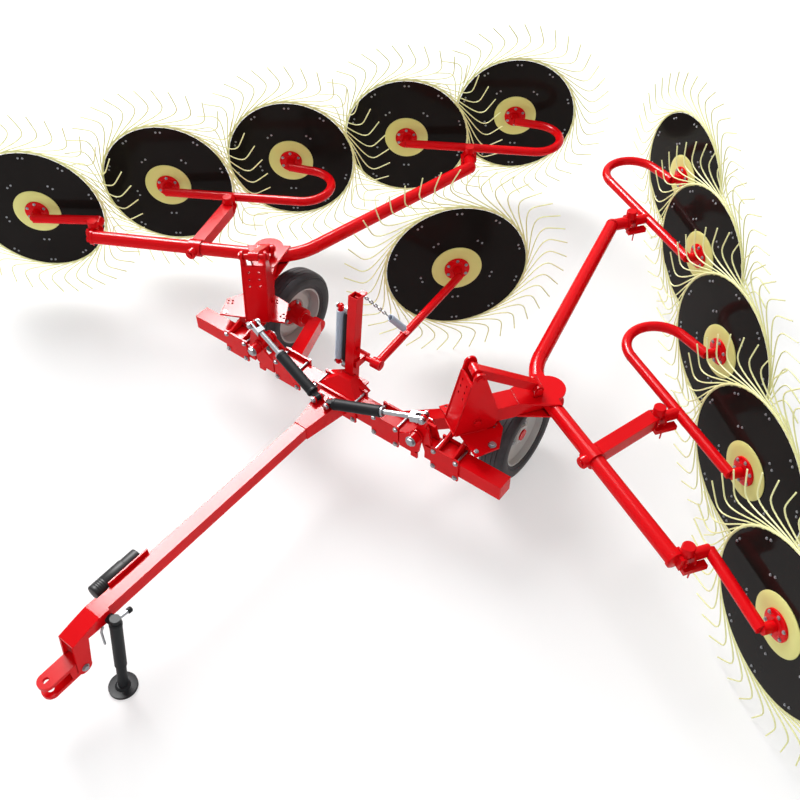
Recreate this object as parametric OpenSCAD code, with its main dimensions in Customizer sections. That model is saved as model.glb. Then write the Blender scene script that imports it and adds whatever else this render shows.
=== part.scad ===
// V wheel rake: a towed hay rake with two wings of five tined wheels and a
// centre kicker wheel behind the frame. Front is -Y, the machine's left is +X.
// Left pieces are drawn once and mirrored for the right.

/* [Rake wheels] */
// Radius from the hub to the tips of the tines
tip_r = 720; // [690:5:760]
// Outer radius of the wind guard disc
guard_r = 446; // [400:2:460]
// Mean radius of the rim ring that carries the tines
rim_r = 456; // [448:1:480]
// Radial width of the rim ring
rim_w = 16; // [10:1:24]
// Thickness of the tine wire
tine_d = 7; // [5:0.5:10]
// Number of tines on a wheel
tine_count = 40; // [24:1:48]
// Radius of the disc on the hub
hub_disc_r = 160; // [140:2:190]
// Radius of the bolted hub flange
hub_flange_r = 80; // [60:2:100]
// Radius of the hub barrel
hub_r = 42; // [34:1:50]
// Radius of the spindle that carries a rake wheel
spindle_r = 20; // [14:1:26]
// Distance from the tine plane to the arm that carries the wheel
arm_offset = 95; // [85:1:120]

/* [Wing layout] */
// X of the front wheel's hub on the left wing
front_hub_x = 2617; // [2500:1:2800]
// Y of the front wheel's hub
front_hub_y = -635; // [-760:1:-560]
// Step from one hub to the next across the machine
hub_step_x = -478; // [-490:1:-470]
// Step from one hub to the next along the machine
hub_step_y = 754; // [740:1:780]
// Angle of the wheel planes from straight across
toe = 35; // [33:0.5:37]
// Outer radius of the wing beam tube
beam_r = 44; // [38:1:50]
// Outer radius of the rocker tubes
rocker_r = 30; // [24:1:36]
// Bend radius of the hooked end of a rocker
hook_bend_r = 190; // [170:5:210]
// Bend radius of the wing beam
beam_bend_r = 380; // [300:10:420]
// Length of a front arm from its pivot to the hub
front_arm_len = 450; // [400:5:480]
// Radius of the pivot pins of arms and rockers
pivot_r = 18; // [14:1:22]

/* [Frame] */
// How far the top of the frame lies below the rake wheels' hubs
frame_drop = 161; // [150:1:170]
// Half length of the middle beam, between the lift hinges
centre_half = 530; // [515:1:540]
// Distance of the outer beams' ends from the centre line
cross_half = 1137; // [1050:1:1200]
// Depth of the cross beams along the machine
cross_d = 100; // [90:5:110]
// Height of the cross beams
cross_h = 100; // [80:5:110]
// Y of the cross beams' front face
cross_y = -633; // [-640:1:-620]
// Width of the square drawbar tube
drawbar_w = 80; // [70:2:90]
// Y of the drawbar's front end
drawbar_front = -2424; // [-2450:1:-2400]
// Wall of the frame tubes
frame_wall = 8; // [5:0.5:10]

/* [Clamps on the cross beams] */
// Thickness of the clamp plates
clamp_t = 12; // [8:1:14]
// How far the clamp plates stand above and below their beam
clamp_over = 31; // [24:1:36]
// Distance of the clamp bolts' middles from the beam
bolt_over = 10; // [9:0.5:14]
// Radius of the clamps' bolt holes
bolt_hole_r = 8.5; // [6:0.5:9]
// Distance of the bolts from a clamp's sides
bolt_inset = 18; // [14:1:24]
// X of the wheel clamp's inner side
wheel_clamp_x = 275; // [250:1:280]
// Width of the wheel clamp
wheel_clamp_w = 190; // [170:2:194]
// X of the tower clamp's inner side
tower_clamp_x = 690; // [680:1:700]
// Width of the tower clamp
tower_clamp_w = 182; // [170:2:200]

/* [Ground wheels] */
// Distance of a ground wheel's middle from the centre line
track_half = 883; // [870:1:910]
// Y of the ground wheels' axle
axle_y = -39; // [-60:1:0]
// Radius of a tyre
tyre_r = 307; // [290:1:320]
// Height of a tyre's side from its rim to the tread
tyre_depth = 107; // [100:1:115]
// Width of a tyre
tyre_w = 172; // [150:2:180]
// Radius of the stub axles
axle_r = 24; // [18:1:30]

/* [Lift hinges and towers] */
// X of the lift hinge, which runs fore and aft
hinge_x = 588; // [580:1:592]
// Height of the lift hinge above the frame
hinge_rise = 52; // [48:1:60]
// Radius of the lift hinge's pin
hinge_pin_r = 16; // [12:1:20]
// Outer radius of the lift hinge's sleeve
hinge_sleeve_r = 34; // [28:1:36]
// Height of the fan plate's top above the frame
fan_rise = 89; // [80:1:92]
// Height of the pin at the top of the tower above the frame
tower_rise = 486; // [440:2:520]

/* [Lift cylinders] */
// X of the barrel's pin
barrel_x = 39; // [36:1:60]
// Y of the barrel's pin
barrel_y = -738; // [-760:1:-730]
// Height of the barrel's pin above the frame
barrel_rise = 41; // [40:1:50]
// Distance of the rod's pin outside the lift hinge
eye_out = 33; // [25:1:45]
// Height of the rod's pin above the lift hinge
eye_up = 151; // [140:1:160]
// Y of the rod's pin
eye_y = -622; // [-626:1:-618]
// Outer radius of the barrel
barrel_r = 33; // [28:1:36]
// Radius of the rod
rod_r = 15; // [11:1:18]

/* [Kicker and mast] */
// Y of the kicker wheel's hub
kicker_y = 581; // [540:1:600]
// Angle of the kicker wheel's arm side from straight ahead
kicker_toe = 45; // [40:0.5:50]
// X of the kicker arm's pivot
kicker_pivot_x = 126; // [110:1:140]
// Y of the kicker arm's pivot
kicker_pivot_y = -399; // [-410:1:-390]
// Height of the kicker arm's pivot above the frame
kicker_rise = 141; // [130:1:150]
// Outer radius of the kicker arm's tube
kicker_arm_r = 25; // [20:1:30]
// Width of the square mast tube
mast_w = 60; // [50:1:70]
// Length of the mast above the frame
mast_rise = 611; // [560:1:640]
// Rearward lean of the mast
mast_lean = 7; // [5:0.5:9]

/* [Jack and hitch] */
// X of the jack
jack_x = 96; // [90:1:110]
// Y of the jack's foot
jack_y = -2470; // [-2480:1:-2460]
// Rearward lean of the jack
jack_lean = 10; // [0:1:14]
// Radius of the jack's outer tube
jack_r = 31; // [28:1:34]
// Radius of the jack's inner leg
jack_leg_r = 26; // [18:1:26]
// Radius of the jack's round foot
jack_foot_r = 75; // [60:1:80]
// Y of the clevis pin hole
clevis_y = -2752; // [-2780:1:-2740]
// Radius of the clevis pin hole
clevis_hole_r = 16.5; // [12:0.5:20]
// Height of the middle of the clevis
clevis_z = 336; // [320:1:350]
// Distance between the middles of the clevis plates
clevis_gap = 82; // [70:1:90]
// Half width of the clevis and radius of its round ends
clevis_r = 45; // [40:1:50]

/* [Hidden] */
$fn = 64;
// Running clearance of pins and spindles, on the radius
run = 0.3;
// Clearance of the cylinders' ball eyes and rods, on the radius
slack = 0.7;
// Overlap by which welded pieces are sunk into each other
weld = 1;
hub_z = tip_r;
wheels = 5;
sides = ["left", "right"];
WHEELS = [for (s = sides) for (i = [1:wheels]) str(s, "_", i)];

red = [0.82, 0.05, 0.07];
black = [0.08, 0.08, 0.08];
khaki = [0.80, 0.77, 0.50];
zinc = [0.75, 0.76, 0.78];
grey = [0.60, 0.60, 0.58];
spring_blue = [0.55, 0.62, 0.70];

frame_top = hub_z - frame_drop;
frame_low = frame_top - cross_h;
cross_rear = cross_y + cross_d;

// Directions in plan: towards the arm side, and along a wheel's plane
aside = [-sin(toe), -cos(toe)];
along = [-cos(toe), sin(toe)];
function hub(i) = [front_hub_x + (i - 1) * hub_step_x, front_hub_y + (i - 1) * hub_step_y];
function heading(a) = [cos(a), sin(a)];
function cross2(a, b) = a[0] * b[1] - a[1] * b[0];
// Where the line through p along d meets the line through q along e
function meet(p, d, q, e) = p + d * cross2(q - p, e) / cross2(d, e);

// General pieces

// A round tube or bar from a to b
module bar(a, b, r) {
    d = b - a;
    l = norm(d);
    translate(a) rotate([0, acos(d[2] / l), atan2(d[1], d[0])]) cylinder(r = r, h = l);
}

// A bar of rectangular section in the horizontal plane, from a to b in plan
module flat_bar(a, b, w, z0, z1) {
    d = b - a;
    translate([a[0], a[1], z0]) rotate(atan2(d[1], d[0])) translate([0, -w / 2, 0])
        cube([norm(d), w, z1 - z0]);
}

// Stands its children's Z axis along a level heading at a point in plan
module pointed(p, z, a) {
    translate([p[0], p[1], z]) rotate([0, 90, a]) children();
}

// A plate with its outline in Y and Z, from x on
module side_plate(x, t) {
    translate([x, 0, 0]) rotate([90, 0, 90]) linear_extrude(t) children();
}

// A plate with its outline in X and Z, from y on
module front_plate(y, t) {
    translate([0, y + t, 0]) rotate([90, 0, 0]) linear_extrude(t) children();
}

// Weld bead where a bend meets a straight tube
bead_l = 8;

// A bent tube in the horizontal plane: straight from a on heading ha, an arc
// of radius r turning clockwise, then straight to b on heading hb
module bent_tube(a, ha, b, hb, r, tube_r, z) {
    na = heading(ha - 90);
    nb = heading(hb - 90);
    c = meet(a + r * na, heading(ha), b + r * nb, heading(hb));
    start = c - r * na;
    finish = c - r * nb;
    bar([a[0], a[1], z], [start[0], start[1], z], tube_r);
    translate([c[0], c[1], z]) rotate(hb + 90)
        rotate_extrude(angle = ha - hb) translate([r, 0]) circle(tube_r);
    bar([finish[0], finish[1], z], [b[0], b[1], z], tube_r);
    for (e = [[start, ha], [finish, hb]]) pointed(e[0], z, e[1])
        translate([0, 0, -bead_l / 2]) cylinder(r = tube_r + weld, h = bead_l);
}

module mirrored(side) {
    if (side == "right") mirror([1, 0, 0]) children();
    else children();
}

// Clamp plates in front of and behind a cross beam, with four bolt holes
module clamp_plates(x, w) {
    for (y = [cross_y - clamp_t, cross_rear]) clamp_plate(x, w, y);
}
module clamp_plate(x, w, y) {
    difference() {
        translate([x, y, frame_low - clamp_over]) cube([w, clamp_t, cross_h + 2 * clamp_over]);
        for (bx = [x + bolt_inset, x + w - bolt_inset], bz = [frame_top + bolt_over, frame_low - bolt_over])
            translate([bx, y - weld, bz]) rotate([-90, 0, 0])
                cylinder(r = bolt_hole_r, h = clamp_t + 2 * weld, $fn = 24);
    }
}

// Rake wheels

// One tine: share of its length outwards, and angle along its sweep
tine_len = tip_r - tine_d / 2 - rim_r;
tine_bends = [
    // share of the length, sweep angle
    [0, 0], [0.13, 5.5], [0.29, 10.5], [0.42, 13.8],
    [0.515, 15], [0.6, 15], [0.706, 13.7], [1, 9.8]];
tine_path = [for (b = tine_bends) [rim_r + b[0] * tine_len, b[1]]];

function polar(r, a) = [r * cos(a), r * sin(a)];
// Points beside the tine's path, half a wire to one side
function tine_side(side, turn) = [for (i = [0:len(tine_path) - 1])
    let (p = polar(tine_path[i][0], tine_path[i][1] + turn),
         before = tine_path[max(i - 1, 0)],
         after = tine_path[min(i + 1, len(tine_path) - 1)],
         d = polar(after[0], after[1] + turn) - polar(before[0], before[1] + turn),
         n = [-d[1], d[0]] / norm(d))
    p + side * n * tine_d / 2];
function tine_outline(turn) = concat(tine_side(-1, turn),
    [for (i = [len(tine_path) - 1:-1:0]) tine_side(1, turn)[i]]);

// The rim with all its tines, one plate as thick as the wire
module tine_plate() {
    step = 360 / tine_count;
    linear_extrude(tine_d, center = true) difference() {
        union() {
            polygon([for (k = [0:tine_count - 1]) for (p = tine_outline(k * step)) p]);
            circle(rim_r + rim_w / 2, $fn = 96);
        }
        circle(rim_r - rim_w / 2, $fn = 96);
    }
}

// The shanks that run from the hub to the rim behind the wind guard
shank_every = 4;
module shanks() {
    for (k = [0:tine_count / shank_every - 1]) rotate(k * shank_every * 360 / tine_count)
        translate([hub_r - 2 * weld, -tine_d / 2, -tine_d / 2]) cube([rim_r - hub_r, tine_d, tine_d]);
}

// Stack along the axis, from the tine plane towards the arm
guard_t = 4;
guard_bore_gap = 10;
hub_disc_t = 6;
flange_t = 12;
hub_nose = 6;
guard_z = tine_d / 2;
hub_disc_z = guard_z + guard_t;
flange_z = hub_disc_z + hub_disc_t;
hub_front = flange_z + flange_t + hub_nose;
hub_back = -46;

module tined_wheel() {
    color(khaki) difference() {
        union() {
            tine_plate();
            shanks();
            translate([0, 0, hub_disc_z]) cylinder(r = hub_disc_r, h = hub_disc_t);
            translate([0, 0, flange_z]) cylinder(r = hub_flange_r, h = flange_t);
            translate([0, 0, hub_back]) cylinder(r = hub_r, h = hub_front - hub_back);
        }
        translate([0, 0, hub_back - 1]) cylinder(r = spindle_r + run, h = hub_front - hub_back + 2);
    }
}

module windguard() {
    color(black) translate([0, 0, guard_z]) difference() {
        cylinder(r = guard_r, h = guard_t, $fn = 96);
        translate([0, 0, -1]) cylinder(r = hub_r + guard_bore_gap, h = guard_t + 2);
    }
}

// Places a wheel with its arm side facing the given heading
module at_hub(p, a) {
    pointed(p, hub_z, a) children();
}
arm_heading = 270 - toe;
kicker_heading = -90 + kicker_toe;
kicker_hub = [0, kicker_y];

// The spindle that an arm holds in a wheel's hub, with the cap behind it
cap_t = 8;
cap_over = 12;
collar_over = 8;
end_gap = 1;
module spindle() {
    translate([0, 0, hub_back - end_gap]) cylinder(r = spindle_r, h = arm_offset - hub_back + end_gap);
    translate([0, 0, hub_back - end_gap - cap_t]) cylinder(r = spindle_r + cap_over, h = cap_t);
    translate([0, 0, hub_front + end_gap]) cylinder(r = spindle_r + collar_over, h = arm_offset - hub_front - end_gap);
}

// Wings

pivot_drop = 109;
bracket_reach = 76;
beam_front = hub(1) + aside * (arm_offset + pivot_drop + bracket_reach) + along * front_arm_len;
beam_front_heading = 152.3;
beam_rear_heading = 101.5;
// The pivots of the rockers, and the elbow at the beam's rear end
rocker_heading = 149.7;
hook_heading = -20;
pivot_along = 468;
function rocker_start(i) = hub(i) + aside * arm_offset;
function rocker_pivot(i) = rocker_start(i) + heading(rocker_heading) * pivot_along;
function bracket(i) = rocker_pivot(i) + aside * pivot_drop;
front_bracket = hub(1) + aside * (arm_offset + pivot_drop) + along * front_arm_len;
elbow_reach = 153;
elbow = bracket(4) + aside * elbow_reach;
// Where the middle rocker's stub is clamped to the beam
stub_along = 708;
stub_start = beam_front + heading(beam_front_heading) * stub_along;
stub_w = 80;
stub_clamp_r = 56;
back = [sin(toe), cos(toe)];
tower_foot = [tower_clamp_x + 23, cross_y + 128];
arm_end = meet(tower_foot, back, beam_front, heading(beam_front_heading));

cheek_t = 10;
cheek_r = 52;
cheek_gap = 40;
pin_over = 6;
sleeve_r = pivot_r + 14;

// Cheek plates and pin of a pivot, with the pin pointing away from the arm side
module pivot_bracket(p) {
    pointed(p, hub_z, arm_heading + 180) {
        for (z = [-cheek_gap - cheek_t, 0]) translate([0, 0, z]) cylinder(r = cheek_r, h = cheek_t);
        translate([0, 0, -cheek_gap - cheek_t - pin_over])
            cylinder(r = pivot_r, h = cheek_gap + cheek_t + pin_over + pivot_drop - rocker_r - 10);
    }
}

// The sleeve that turns on such a pin, up to the tube it carries
module pivot_sleeve(p) {
    pointed(p, hub_z, arm_heading + 180) difference() {
        translate([0, 0, cheek_t + end_gap]) cylinder(r = sleeve_r, h = pivot_drop - cheek_t - end_gap);
        translate([0, 0, -1]) cylinder(r = pivot_r + run, h = pivot_drop - rocker_r - 8);
    }
}

module front_arm() {
    a = hub(1) + aside * arm_offset;
    b = a + along * front_arm_len;
    color(red) {
        bar([a[0], a[1], hub_z], [b[0], b[1], hub_z], rocker_r);
        at_hub(hub(1), arm_heading) spindle();
        pivot_sleeve(b + aside * pivot_drop);
    }
}

// A rocker for the wheels i and i + 1
module rocker(i) {
    b = rocker_start(i + 1);
    color(red) {
        bent_tube(rocker_start(i), rocker_heading, b, hook_heading, hook_bend_r, rocker_r, hub_z);
        for (k = [i, i + 1]) at_hub(hub(k), arm_heading) spindle();
        pivot_sleeve(bracket(i));
    }
}

arm_h = 96;
gusset_t = 12;
gusset_sink = 4;
gusset_reach = 180;
gusset_past = 40;
gusset_half = 140;
gusset_r = 96;
link_lug_w = 52;
link_lug_t = 12;
link_gap = 1;
module wing_beam() {
    stub_half = stub_w / 2;
    arm_half = arm_w / 2;
    color(red) {
        bent_tube(beam_front, beam_front_heading, elbow, beam_rear_heading, beam_bend_r, beam_r, hub_z);
        translate([elbow[0], elbow[1], hub_z]) sphere(beam_r + weld);
        bar([elbow[0], elbow[1], hub_z], [bracket(4)[0] + aside[0] * cheek_gap, bracket(4)[1] + aside[1] * cheek_gap, hub_z], beam_r - gusset_sink);
        for (p = [front_bracket, bracket(2), bracket(4)]) pivot_bracket(p);
        // Stub of the middle rocker with its clamp round the beam, and the front bracket's stub
        flat_bar(stub_start, bracket(2) + aside * (cheek_gap + 5), stub_w, hub_z - stub_half, hub_z + stub_half);
        pointed(stub_start, hub_z, beam_front_heading) translate([0, 0, -stub_half]) cylinder(r = stub_clamp_r, h = stub_w);
        flat_bar(beam_front - aside * 6, front_bracket + aside * cheek_gap, stub_w, hub_z - stub_half, hub_z + stub_half);
        // Lower arm from the tower to the bend, with the gusset plates round the beam
        difference() {
            flat_bar(tower_foot + back * arm_start, arm_end, arm_w, hub_z - arm_h / 2, hub_z + arm_h / 2);
            across_tower(arm_pin_t, hub_z) translate([0, 0, -arm_w]) cylinder(r = tower_pin_r + run, h = 2 * arm_w);
        }
        for (z = [hub_z - beam_r + gusset_sink - gusset_t, hub_z + beam_r - gusset_sink])
            translate([0, 0, z]) linear_extrude(gusset_t) {
                polygon([arm_end - back * gusset_reach + along * (arm_half + weld), arm_end - back * gusset_reach - along * (arm_half + weld),
                    arm_end + back * gusset_past - along * gusset_half, arm_end + back * gusset_past + along * gusset_half]);
                translate(arm_end + back * gusset_past / 2) circle(gusset_r);
            }
        // Lugs and pin for the top link
        across_tower(link_low_t, link_low_z) {
            translate([0, 0, -link_half - link_lug_t - 2 * link_gap])
                cylinder(r = tower_pin_r, h = 2 * (link_half + link_lug_t + 2 * link_gap));
            for (s = [-1, 1]) translate([0, 0, s * (link_half + link_gap + link_lug_t / 2) - link_lug_t / 2]) {
                translate([-link_lug_w / 2, hub_z + beam_r - link_low_z, 0])
                    cube([link_lug_w, link_low_z - hub_z - beam_r, link_lug_t]);
                cylinder(r = link_lug_w / 2 + weld, h = link_lug_t);
            }
        }
    }
}

// Tower on its fan plate, clamped to the outer beam

fan_t = 12;
fan_top = frame_top + fan_rise;
fan_low = fan_top - fan_t;
tower_pin_z = frame_top + tower_rise;
// Corners of the fan plate from the tower's foot
fan_corners = [[-136, 93], [234, -90], [299, 40], [236, 173], [111, 247], [-38, 238]];
// Groups of holes for the working width: their middle from the tower's foot, radius and angles
fan_hole_mid = [59, -5];
fan_hole_ring = 203;
fan_hole_turns = [10, 53, 96, 139];
fan_hole_step = 18;
fan_hole_r = 7;
tower_w = 150;
tower_depth = 250;
tower_plate_t = 12;
tower_pin_r = 15;
tower_head_r = 36;
tower_corner_r = 60;
saddle_inset = 32;
web_in = 40;
web_t = 12;
web_rear = 203;
arm_w = tower_w - 2 * tower_plate_t - 4;
arm_start = 60;
arm_pin_t = 130;
// Top link: how far behind the tower's foot its two pins lie, and half its eyes' length
link_t = 126;
link_low_t = norm(arm_end - tower_foot) - 60;
link_low_z = hub_z + 100;
link_half = 30;
link_w = 50;
link_h = 52;
link_eye_r = 28;

// Y of the fan plate's front edge at x
function fan_edge(x) = let (a = tower_foot + fan_corners[0], b = tower_foot + fan_corners[1])
    a[1] + (b[1] - a[1]) * (x - a[0]) / (b[0] - a[0]);

// Puts Z across the tower at a distance behind its foot, with Y up
module across_tower(t, z) {
    translate([tower_foot[0] + back[0] * t, tower_foot[1] + back[1] * t, z]) rotate([90, 0, 90 - toe]) children();
}

module fan_plate() {
    translate([0, 0, fan_low]) linear_extrude(fan_t) difference() {
        polygon([for (c = fan_corners) tower_foot + c]);
        for (a = fan_hole_turns, d = [[-1, 0], [1, 0], [0, -1], [0, 1]])
            translate(tower_foot + fan_hole_mid) rotate(a) translate([fan_hole_ring, 0] + d * fan_hole_step)
                circle(fan_hole_r, $fn = 16);
    }
}

// Outline of a tower's side plate: distance behind the foot, and height above the fan plate
module tower_outline() {
    head = tower_pin_z - fan_top;
    polygon([[0, -weld], [tower_depth - tower_corner_r, -weld], [tower_depth - weld, tower_corner_r],
        [tower_depth - weld, hub_z - fan_top + arm_h / 2], [link_t + tower_head_r - weld, head], [link_t - tower_head_r + weld, head]]);
    translate([link_t, head]) circle(tower_head_r);
    translate([tower_depth - tower_corner_r, tower_corner_r - weld]) circle(tower_corner_r);
}

tower_hole_r = 7;
tower_hole_x = 30;
// Share of the tower's height that its front plate reaches
tower_front_share = 0.9;
module tower() {
    head = tower_pin_z - fan_top;
    slope = (link_t - tower_head_r) / head;
    front_h = tower_front_share * head;
    color(red) {
        clamp_plates(tower_clamp_x, tower_clamp_w);
        translate([tower_clamp_x + saddle_inset, cross_y - weld, frame_top])
            cube([tower_clamp_w - 2 * saddle_inset, cross_d + 2 * weld, clamp_t]);
        for (x = [tower_clamp_x + web_in, tower_clamp_x + tower_clamp_w - web_in]) side_plate(x - web_t / 2, web_t)
            polygon([[cross_y - clamp_t, frame_top + clamp_t - weld], [cross_y + web_rear, frame_top + clamp_t - weld],
                [cross_y + web_rear, fan_low + weld], [fan_edge(x) + fan_t, fan_low + weld], [cross_y - clamp_t, frame_top + clamp_over]]);
        fan_plate();
        for (s = [-1, 1]) across_tower(0, fan_top) translate([0, 0, s * (tower_w - tower_plate_t) / 2 - tower_plate_t / 2])
            linear_extrude(tower_plate_t) tower_outline();
        // Slanted front plate with its three pairs of holes
        difference() {
            across_tower(0, fan_top) translate([0, 0, -tower_w / 2 + weld]) linear_extrude(tower_w - 2 * weld)
                polygon([[0, -weld], [tower_plate_t, -weld], [tower_plate_t + slope * front_h, front_h], [slope * front_h, front_h]]);
            for (share = [0.58, 0.69, 0.8], s = [-1, 1]) across_tower(slope * head * share, fan_top + head * share)
                translate([-tower_plate_t, 0, s * tower_hole_x]) rotate([0, 90, 0]) cylinder(r = tower_hole_r, h = 3 * tower_plate_t, $fn = 16);
        }
        // Pins of the top link and the lower arm
        for (p = [[link_t, tower_pin_z], [arm_pin_t, hub_z]]) across_tower(p[0], p[1])
            translate([0, 0, -tower_w / 2 - pin_over]) cylinder(r = tower_pin_r, h = tower_w + 2 * pin_over);
    }
}

module top_link() {
    ends = [[link_t, tower_pin_z], [link_low_t, link_low_z]];
    d = ends[1] - ends[0];
    color(red) difference() {
        union() {
            across_tower(link_t, tower_pin_z) rotate(atan2(d[1], d[0])) translate([0, -link_h / 2, -link_w / 2]) cube([norm(d), link_h, link_w]);
            for (e = ends) across_tower(e[0], e[1]) translate([0, 0, -link_half]) cylinder(r = link_eye_r, h = 2 * link_half);
        }
        for (e = ends) across_tower(e[0], e[1]) translate([0, 0, -link_half - 1]) cylinder(r = tower_pin_r + run, h = 2 * link_half + 2);
    }
}

// Lift hinge: ears on the middle beam, and the outer beam that turns on their pin

hinge_z = frame_top + hinge_rise;
ear_t = 12;
ear_r = 40;
ear_len = 55;
ear_tab_w = 44;
boss_len = 45;
pin_end = 12;

module ear_outline() {
    polygon([[centre_half - ear_len, frame_low], [centre_half - ear_len, frame_top], [hinge_x - ear_r + weld, hinge_z],
        [hinge_x + ear_r - weld, hinge_z], [hinge_x + ear_r / 2, frame_low + clamp_over], [centre_half + ear_len / 2, frame_low]]);
    translate([hinge_x, hinge_z]) circle(ear_r);
}

// Puts Z rearwards along the hinge from its front ear's front face
module along_hinge() {
    translate([hinge_x, cross_y - ear_t, hinge_z]) rotate([-90, 0, 0]) children();
}

module lift_base() {
    color(red) {
        for (y = [cross_y - ear_t, cross_rear]) front_plate(y, ear_t) ear_outline();
        translate([hinge_x - ear_tab_w / 2 - ear_t, cross_y - ear_t, frame_low - clamp_over])
            cube([ear_tab_w, ear_t, clamp_over + ear_t]);
        along_hinge() {
            translate([0, 0, -boss_len]) cylinder(r = hinge_sleeve_r, h = boss_len + weld);
            translate([0, 0, -boss_len]) cylinder(r = hinge_pin_r, h = boss_len + cross_d + 2 * ear_t + pin_end);
        }
    }
}

outer_start = hinge_x + ear_r + 12;
lever_t = 16;
lever_gap = 6;
lever_half = 30;
lever_drop = 70;
lever_foot = 40;
eye_x = hinge_x + eye_out;
eye_z = hinge_z + eye_up;
eye_pin_r = 10;
lug_r = 20;
lug_t = 12;

module web_outline(top) {
    polygon([[hinge_x - hinge_sleeve_r + weld, hinge_z], [eye_x - lever_half, top], [eye_x + lever_half, top],
        [outer_start + lever_foot, frame_top - weld], [outer_start + lever_foot, frame_low + clamp_over], [outer_start, frame_low + clamp_over],
        [hinge_x + hinge_sleeve_r / 2, hinge_z - hinge_sleeve_r / 2]]);
    translate([hinge_x, hinge_z]) circle(hinge_sleeve_r + 2 * weld);
}

module outer_beam() {
    wall = frame_wall;
    color(red) difference() {
        union() {
            difference() {
                translate([outer_start, cross_y, frame_low]) cube([cross_half - outer_start, cross_d, cross_h]);
                translate([outer_start - 1, cross_y + wall, frame_low + wall])
                    cube([cross_half - outer_start + 1 - wall, cross_d - 2 * wall, cross_h - 2 * wall]);
            }
            along_hinge() translate([0, 0, ear_t + end_gap]) cylinder(r = hinge_sleeve_r, h = cross_d - 2 * end_gap);
            front_plate(cross_y + lever_gap, lever_t) web_outline(eye_z - lever_drop);
            front_plate(cross_rear - lever_gap - lever_t, lever_t) web_outline(hinge_z + hinge_sleeve_r);
            // Lug and pin of the rod's fork, turned to face the cylinder
            translate([eye_x, eye_y, eye_z]) rotate([90, 0, cylinder_heading]) {
                translate([0, 0, -lug_t / 2]) cylinder(r = lug_r, h = lug_t);
                translate([-lug_r + weld, -lever_drop - lever_t, -lug_t / 2]) cube([2 * (lug_r - weld), lever_drop + lever_t, lug_t]);
                translate([0, 0, -fork_out - pin_over]) cylinder(r = eye_pin_r, h = 2 * (fork_out + pin_over));
            }
        }
        along_hinge() cylinder(r = hinge_pin_r + run, h = cross_d + 2 * ear_t);
    }
}

// Lift cylinders

barrel_z = frame_top + barrel_rise;
barrel_pin = [barrel_x, barrel_y, barrel_z];
eye_pin = [eye_x, eye_y, eye_z];
cylinder_len = norm(eye_pin - barrel_pin);
cylinder_rise = asin((eye_z - barrel_z) / cylinder_len);
cylinder_heading = atan2(eye_y - barrel_y, eye_x - barrel_x);
barrel_start = 40;
barrel_len = 350;
barrel_wall = 7;
barrel_base = 20;
gland_len = 14;
gland_r = barrel_r - 5;
barrel_pin_r = 10;
eye_half = 16;
eye_r = 18;
rod_inside = 150;
// The rod's fork: prongs beside the lug, round its pin
fork_in = 13;
fork_out = 24;
fork_r = 22;
fork_base = 45;
fork_neck = 78;
fork_bore_r = eye_pin_r + 5;

// Puts X along the cylinder from the barrel's pin, with Y along its pins
module along_cylinder() {
    translate(barrel_pin) rotate([0, -cylinder_rise, cylinder_heading]) children();
}
module round_x(x, r, l) {
    translate([x, 0, 0]) rotate([0, 90, 0]) cylinder(r = r, h = l);
}
module round_y(x, y, r, l) {
    translate([x, y + l, 0]) rotate([90, 0, 0]) cylinder(r = r, h = l);
}

module barrel() {
    color(black) along_cylinder() difference() {
        union() {
            round_x(barrel_start, barrel_r, barrel_len - barrel_start);
            round_x(barrel_len - weld, gland_r, gland_len + weld);
            round_y(0, -eye_half, eye_r, 2 * eye_half);
            translate([0, -eye_half, -eye_r + weld]) cube([barrel_start + weld, 2 * eye_half, 2 * (eye_r - weld)]);
        }
        round_y(0, -eye_half - 1, barrel_pin_r + slack, 2 * eye_half + 2);
        round_x(barrel_start + barrel_base, barrel_r - barrel_wall, barrel_len - barrel_start - 2 * barrel_base);
        round_x(barrel_start + barrel_base, rod_r + slack, barrel_len + gland_len);
    }
}

module rod() {
    color(zinc) along_cylinder() difference() {
        union() {
            round_x(rod_inside, rod_r, cylinder_len - rod_inside - fork_base);
            translate([cylinder_len - fork_neck, -fork_out, -fork_r + weld]) cube([fork_neck - fork_base, 2 * fork_out, 2 * (fork_r - weld)]);
            for (y = [-fork_out, fork_in]) {
                translate([cylinder_len - fork_neck, y, -fork_r + weld]) cube([fork_neck, fork_out - fork_in, 2 * (fork_r - weld)]);
                round_y(cylinder_len, y, fork_r, fork_out - fork_in);
            }
        }
        round_y(cylinder_len, -fork_out - 1, fork_bore_r, 2 * fork_out + 2);
    }
}

// Ground wheels

wheel_rim_r = tyre_r - tyre_depth;
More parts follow.
